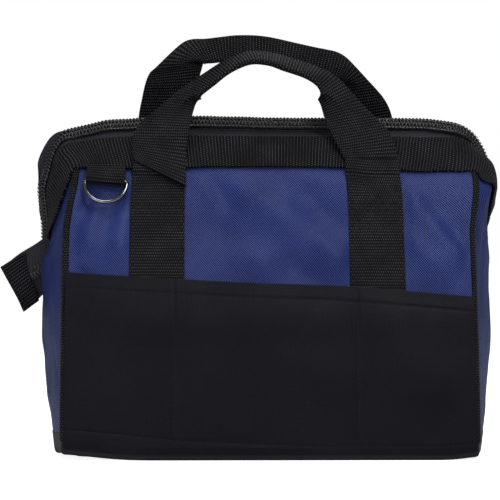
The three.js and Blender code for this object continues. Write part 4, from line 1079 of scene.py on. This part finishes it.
for face, name, stations in ((-1, "front", FRONT_STATIONS), (1, "rear", REAR_STATIONS)):
    track = spline(stations, 1200)
    bm = bmesh.new()
    flat_map = bm.loops.layers.uv.new("flat")
    bmesh.ops.create_grid(bm, x_segments=len(SECTION) - 1, y_segments=260, size=0.5)
    u, v = np.array([vert.co[:2] for vert in bm.verts]).T + 0.5
    section = SECTION[np.rint(u * (len(SECTION) - 1)).astype(int)]
    place, across_run = strip_place(track, section[:, 0], section[:, 1], v)
    middle = (track[:, [0, 2, 1]] + track[:, [3, 5, 4]]) / 2
    length = np.linalg.norm(np.diff(middle, axis=0, prepend=middle[:1]), axis=-1).cumsum()
    along_run = np.interp(v * (len(track) - 1), np.arange(len(track)), length)
    for vert, spot in zip(bm.verts, place * MM):
        vert.co = spot
    for cell in bm.faces:
        for loop in cell.loops:
            loop[flat_map].uv = (across_run[loop.vert.index] * MM, along_run[loop.vert.index] * MM)
    bmesh.ops.remove_doubles(bm, verts=bm.verts[:], dist=1e-6)
    bmesh.ops.holes_fill(bm, edges=[line for line in bm.edges if line.is_boundary], sides=0)
    bmesh.ops.recalc_face_normals(bm, faces=bm.faces[:])
    handle = finish(bm, f"{name}_handle_webbing", WEBBING, 60)
    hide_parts(f"{name}_handle")
    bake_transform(handle)

# ---- D-ring
# A ring bent from 2.7 mm steel wire and chromed, held below the band by a loop of 25 mm webbing. It hangs a few
# degrees out of level, as the loop has been pulled down on its right.

RING_X = -116
RING_DROP = 10.6
WIRE = 1.35
RING_HALF = 16
RING_DEEP = 20
RING_SHIFT = 2.0
RING_TILT = math.radians(5)
LOOP_WIDTH = 30.5
ring_top = wall(-1, RING_X / PANEL_HALF, BAND_BOTTOM - GAP)
ring_up = unit(ring_top - wall(-1, RING_X / PANEL_HALF, BAND_BOTTOM - RING_DEEP))
ring_out = unit(points(0, -ring_up[2], ring_up[1]))
loop_reach = WIRE + 0.4 + STRAP_THICK
bar = ring_top - ring_up * RING_DROP + ring_out * (GAP + loop_reach) + np.array([RING_SHIFT, 0, 0])

# Chromium plate over polished steel: a clear, nearly colourless mirror. Its colour is painted much darker than
# chrome's, a painted reflection of dark surroundings, in patches from noise.
chrome = speckled("chromium_plate_painted_dark", "56575B", "94969A", 160, 2.0, 0, Roughness=0.1, Metallic=1.0)

half = RING_HALF - WIRE
bow = RING_DEEP - 4 * WIRE
outline = [(x * half, 0) for x in np.linspace(-0.88, 0.88, 7)]
outline += [(half * math.cos(a), -2 * WIRE - bow * math.sin(a)) for a in np.linspace(-0.08, math.pi + 0.08, 31)]
outline = spline(np.array(outline + outline[:1]), 240)
cos, sin = math.cos(RING_TILT), math.sin(RING_TILT)
turned = [(x * cos + y * sin, y * cos - x * sin) for x, y in outline]
run = np.array([bar + np.array([x, 0, 0]) + ring_up * y for x, y in turned[:-1]])
ring = wires("chromed_d_ring", [evenly(run, 150)[:-1]], WIRE, chrome, closed=True, roundness=5)
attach(ring, "d_ring")
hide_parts("d_ring")


def loop_place(v, u):
    """The webbing loop: down in front of the panel, round the ring's bar and back up on the outside."""
    turn = loop_reach - STRAP_THICK / 2
    angle = np.clip((np.asarray(u, float) - 0.36) / 0.3, 0, 1) * math.pi
    below = -turn * np.sin(angle)
    behind = -turn * np.cos(angle)
    rise = np.where(u < 0.36, (0.36 - u) / 0.36 * (RING_DROP + 2), np.maximum((u - 0.66) / 0.34, 0) * (RING_DROP + 1.2))
    lean = np.where(u > 0.66, -1.9 * np.maximum((u - 0.66) / 0.34, 0) ** 2, 0)
    x = (np.asarray(v, float) - 0.5) * LOOP_WIDTH - 3
    slope = -x * math.tan(RING_TILT) * (1 - smooth(rise, 1, RING_DROP))
    return (bar + points(x, 0, 0) + ring_up * (below + rise + slope)[..., None]
            + ring_out * (behind + lean)[..., None])


loop = sheet("ring_loop_webbing", (18, 60), loop_place, STRAP_THICK, WEBBING, stand=STRAP_THICK / 2,
             edge=0.35, inside=tuple(bar))
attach(loop, "front_mouth")
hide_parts("ring_tab")

# ---- Left tail
# At the left end the zip runs on past the bag, and its tape is sewn into a folded piece of webbing that hangs down from
# the top of the end, with a short run of coil showing.

TAIL_ROOT = -CREASE + 2.5


def tab_place(u, v):
    """Place on the tail's webbing in x and z: u out to its fold, v from its upper side to its lower side."""
    u = np.asarray(u, float)[..., None]
    v = np.asarray(v, float)[..., None]
    upper = mix(np.array([-173.0, 142.0]), np.array([-190.5, 131.6]), u)
    lower = mix(np.array([-162.5, 107.0]), np.array([-172.5, 99.4]), u)
    return mix(upper, lower, v)


def tail_place(u, v):
    u, v = (np.asarray(k, float) for k in (u, v))
    root = points(TAIL_ROOT, mix(157.0, 113.0, v), 0)[..., :2]
    flat = mix(root, tab_place(0.6, v), u[..., None])
    wave = 0.9 * np.sin(v * 7 + u * 3) * np.sin(np.pi * u)
    return points(flat[..., 0], wave, flat[..., 1])


tail = sheet("left_tail_cloth", (24, 30), tail_place, TAPE_THICK, ZIP_TAPE, inside=(-170, 40, 125),
             edge=0.15)
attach(tail, "left_tail")
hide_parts("left_tail_tape")


def folded_place(u, v):
    """Webbing folded over the tape: from the front layer's edge round the fold to the rear layer's edge."""
    u, v = (np.asarray(k, float) for k in (u, v))
    out = np.where(u < 0.5, np.minimum(u / 0.44, 1), np.minimum((1 - u) / 0.44, 1))
    flat = tab_place(out * 0.97, v)
    turn = np.clip((u - 0.44) / 0.12, 0, 1) * math.pi
    half = 1.25 + 0.5 * np.sin(np.pi * v)
    flat = flat + 0.03 * np.sin(turn)[..., None] * (tab_place(1, v) - tab_place(0, v))
    return points(flat[..., 0], -half * np.cos(turn) + 0.7 * np.sin(v * 5), flat[..., 1])


end_tab = sheet("left_tail_webbing", (44, 34), folded_place, 1.5, WEBBING, stand=1.2, edge=0.35,
                inside=(-178, 0, 117))
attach(end_tab, "left_tail")
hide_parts("left_tail_tab")

drop = math.radians(28)
line = np.array([(TAIL_ROOT - k * math.cos(drop), -0.6, 131 - k * math.sin(drop)) for k in np.linspace(0, 16, 200)])
rows = []
for sign in (1, -1):
    across = np.tile(np.array([-math.sin(drop), 0, math.cos(drop)]) * sign, (200, 1))
    out = np.tile(np.array([0, -1.0, 0]), (200, 1))
    run = coil_run(line, across, out, 4, 1.6 + (0 if sign > 0 else PITCH / 2))
    run[:, 0] = np.maximum(run[:, 0], -175)
    rows.append(run)
tail_coil = wires("left_tail_coil", rows, COIL_WIRE, coil_nylon, roundness=1)
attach(tail_coil, "left_tail")
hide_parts("left_tail_teeth")

lines = []
for out in (0.2, 0.86):
    share = np.linspace(0.05, 0.95, 40)
    lines.append(raised(folded_place, out * 0.44, share, 1.35, inside=(-178, 0, 117)))
sewn = stitches("left_tail_stitches", lines, 2.8, 0.24)
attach(sewn, "left_tail")

# ---- Right tail and slider
# At the right end the open end of the zip hangs down behind the crease, its two rows parted by the slider, which is a
# black enamelled zinc casting with a flat pull on a pin.

tail_root = end_wall(1, 1, 0.62, 137.0)
tail_down = unit(end_wall(1, 1, 0.66, 92.0) - tail_root)
tail_out = unit(np.cross(end_wall(1, 1, 0.72, 137.0) - tail_root, tail_down))
tail_out = tail_out if tail_out[0] > 0 else -tail_out
tail_side = -np.cross(tail_out, tail_down)
tail_root = tail_root + tail_out * 4
TAIL_END = 37


def on_tail(x, y, z):
    x, y, z = (np.asarray(k, float)[..., None] for k in np.broadcast_arrays(x, y, z))
    return tail_root + x * tail_side + y * tail_down + z * tail_out


def right_tail_place(u, v):
    x = mix(-13, 13, np.asarray(u, float))
    y = mix(-9, TAIL_END + 6, np.asarray(v, float))
    sunk = -3.4 * smooth(-y, 0, 9) + 0.25 * ripples(x, y, 16, 8) * smooth(y, 2, 12)
    return on_tail(x * (1 - 0.2 * smooth(-y, 0, 9)), y, 0.5 + sunk)


tail = sheet("right_tail_cloth", (26, 48), right_tail_place, TAPE_THICK, ZIP_TAPE, edge=0.15)
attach(tail, "bag_body")
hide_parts("right_tail_tape")

for side, name in ((1, "front"), (-1, "rear")):
    spine = on_tail(side * 2.0, np.linspace(3, TAIL_END + 1, 300), 0.55)
    across = np.tile(tail_side * side, (300, 1))
    out = np.tile(tail_out, (300, 1))
    run = coil_run(spine, across * 0.8, out * 0.8, 13, 1.5 + (0 if side > 0 else PITCH / 2))
    rows = wires(f"right_tail_{name}_coil", [run], 0.46, coil_nylon, roundness=1)
    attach(rows, "bag_body")
    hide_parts(f"right_tail_{name}_teeth")

# Stoved enamel on a zinc casting: black, glossy, with a faint orange-peel surface.
enamel = speckled("stoved_black_enamel", "121214", "26262A", 900, 2.0, 0.03, Roughness=0.28, Specular_IOR_Level=0.5)
for name in ("zip_slider", "pull_tab"):
    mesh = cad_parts[name].data
    mesh.materials.clear()
    mesh.materials.append(enamel)

low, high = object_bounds()
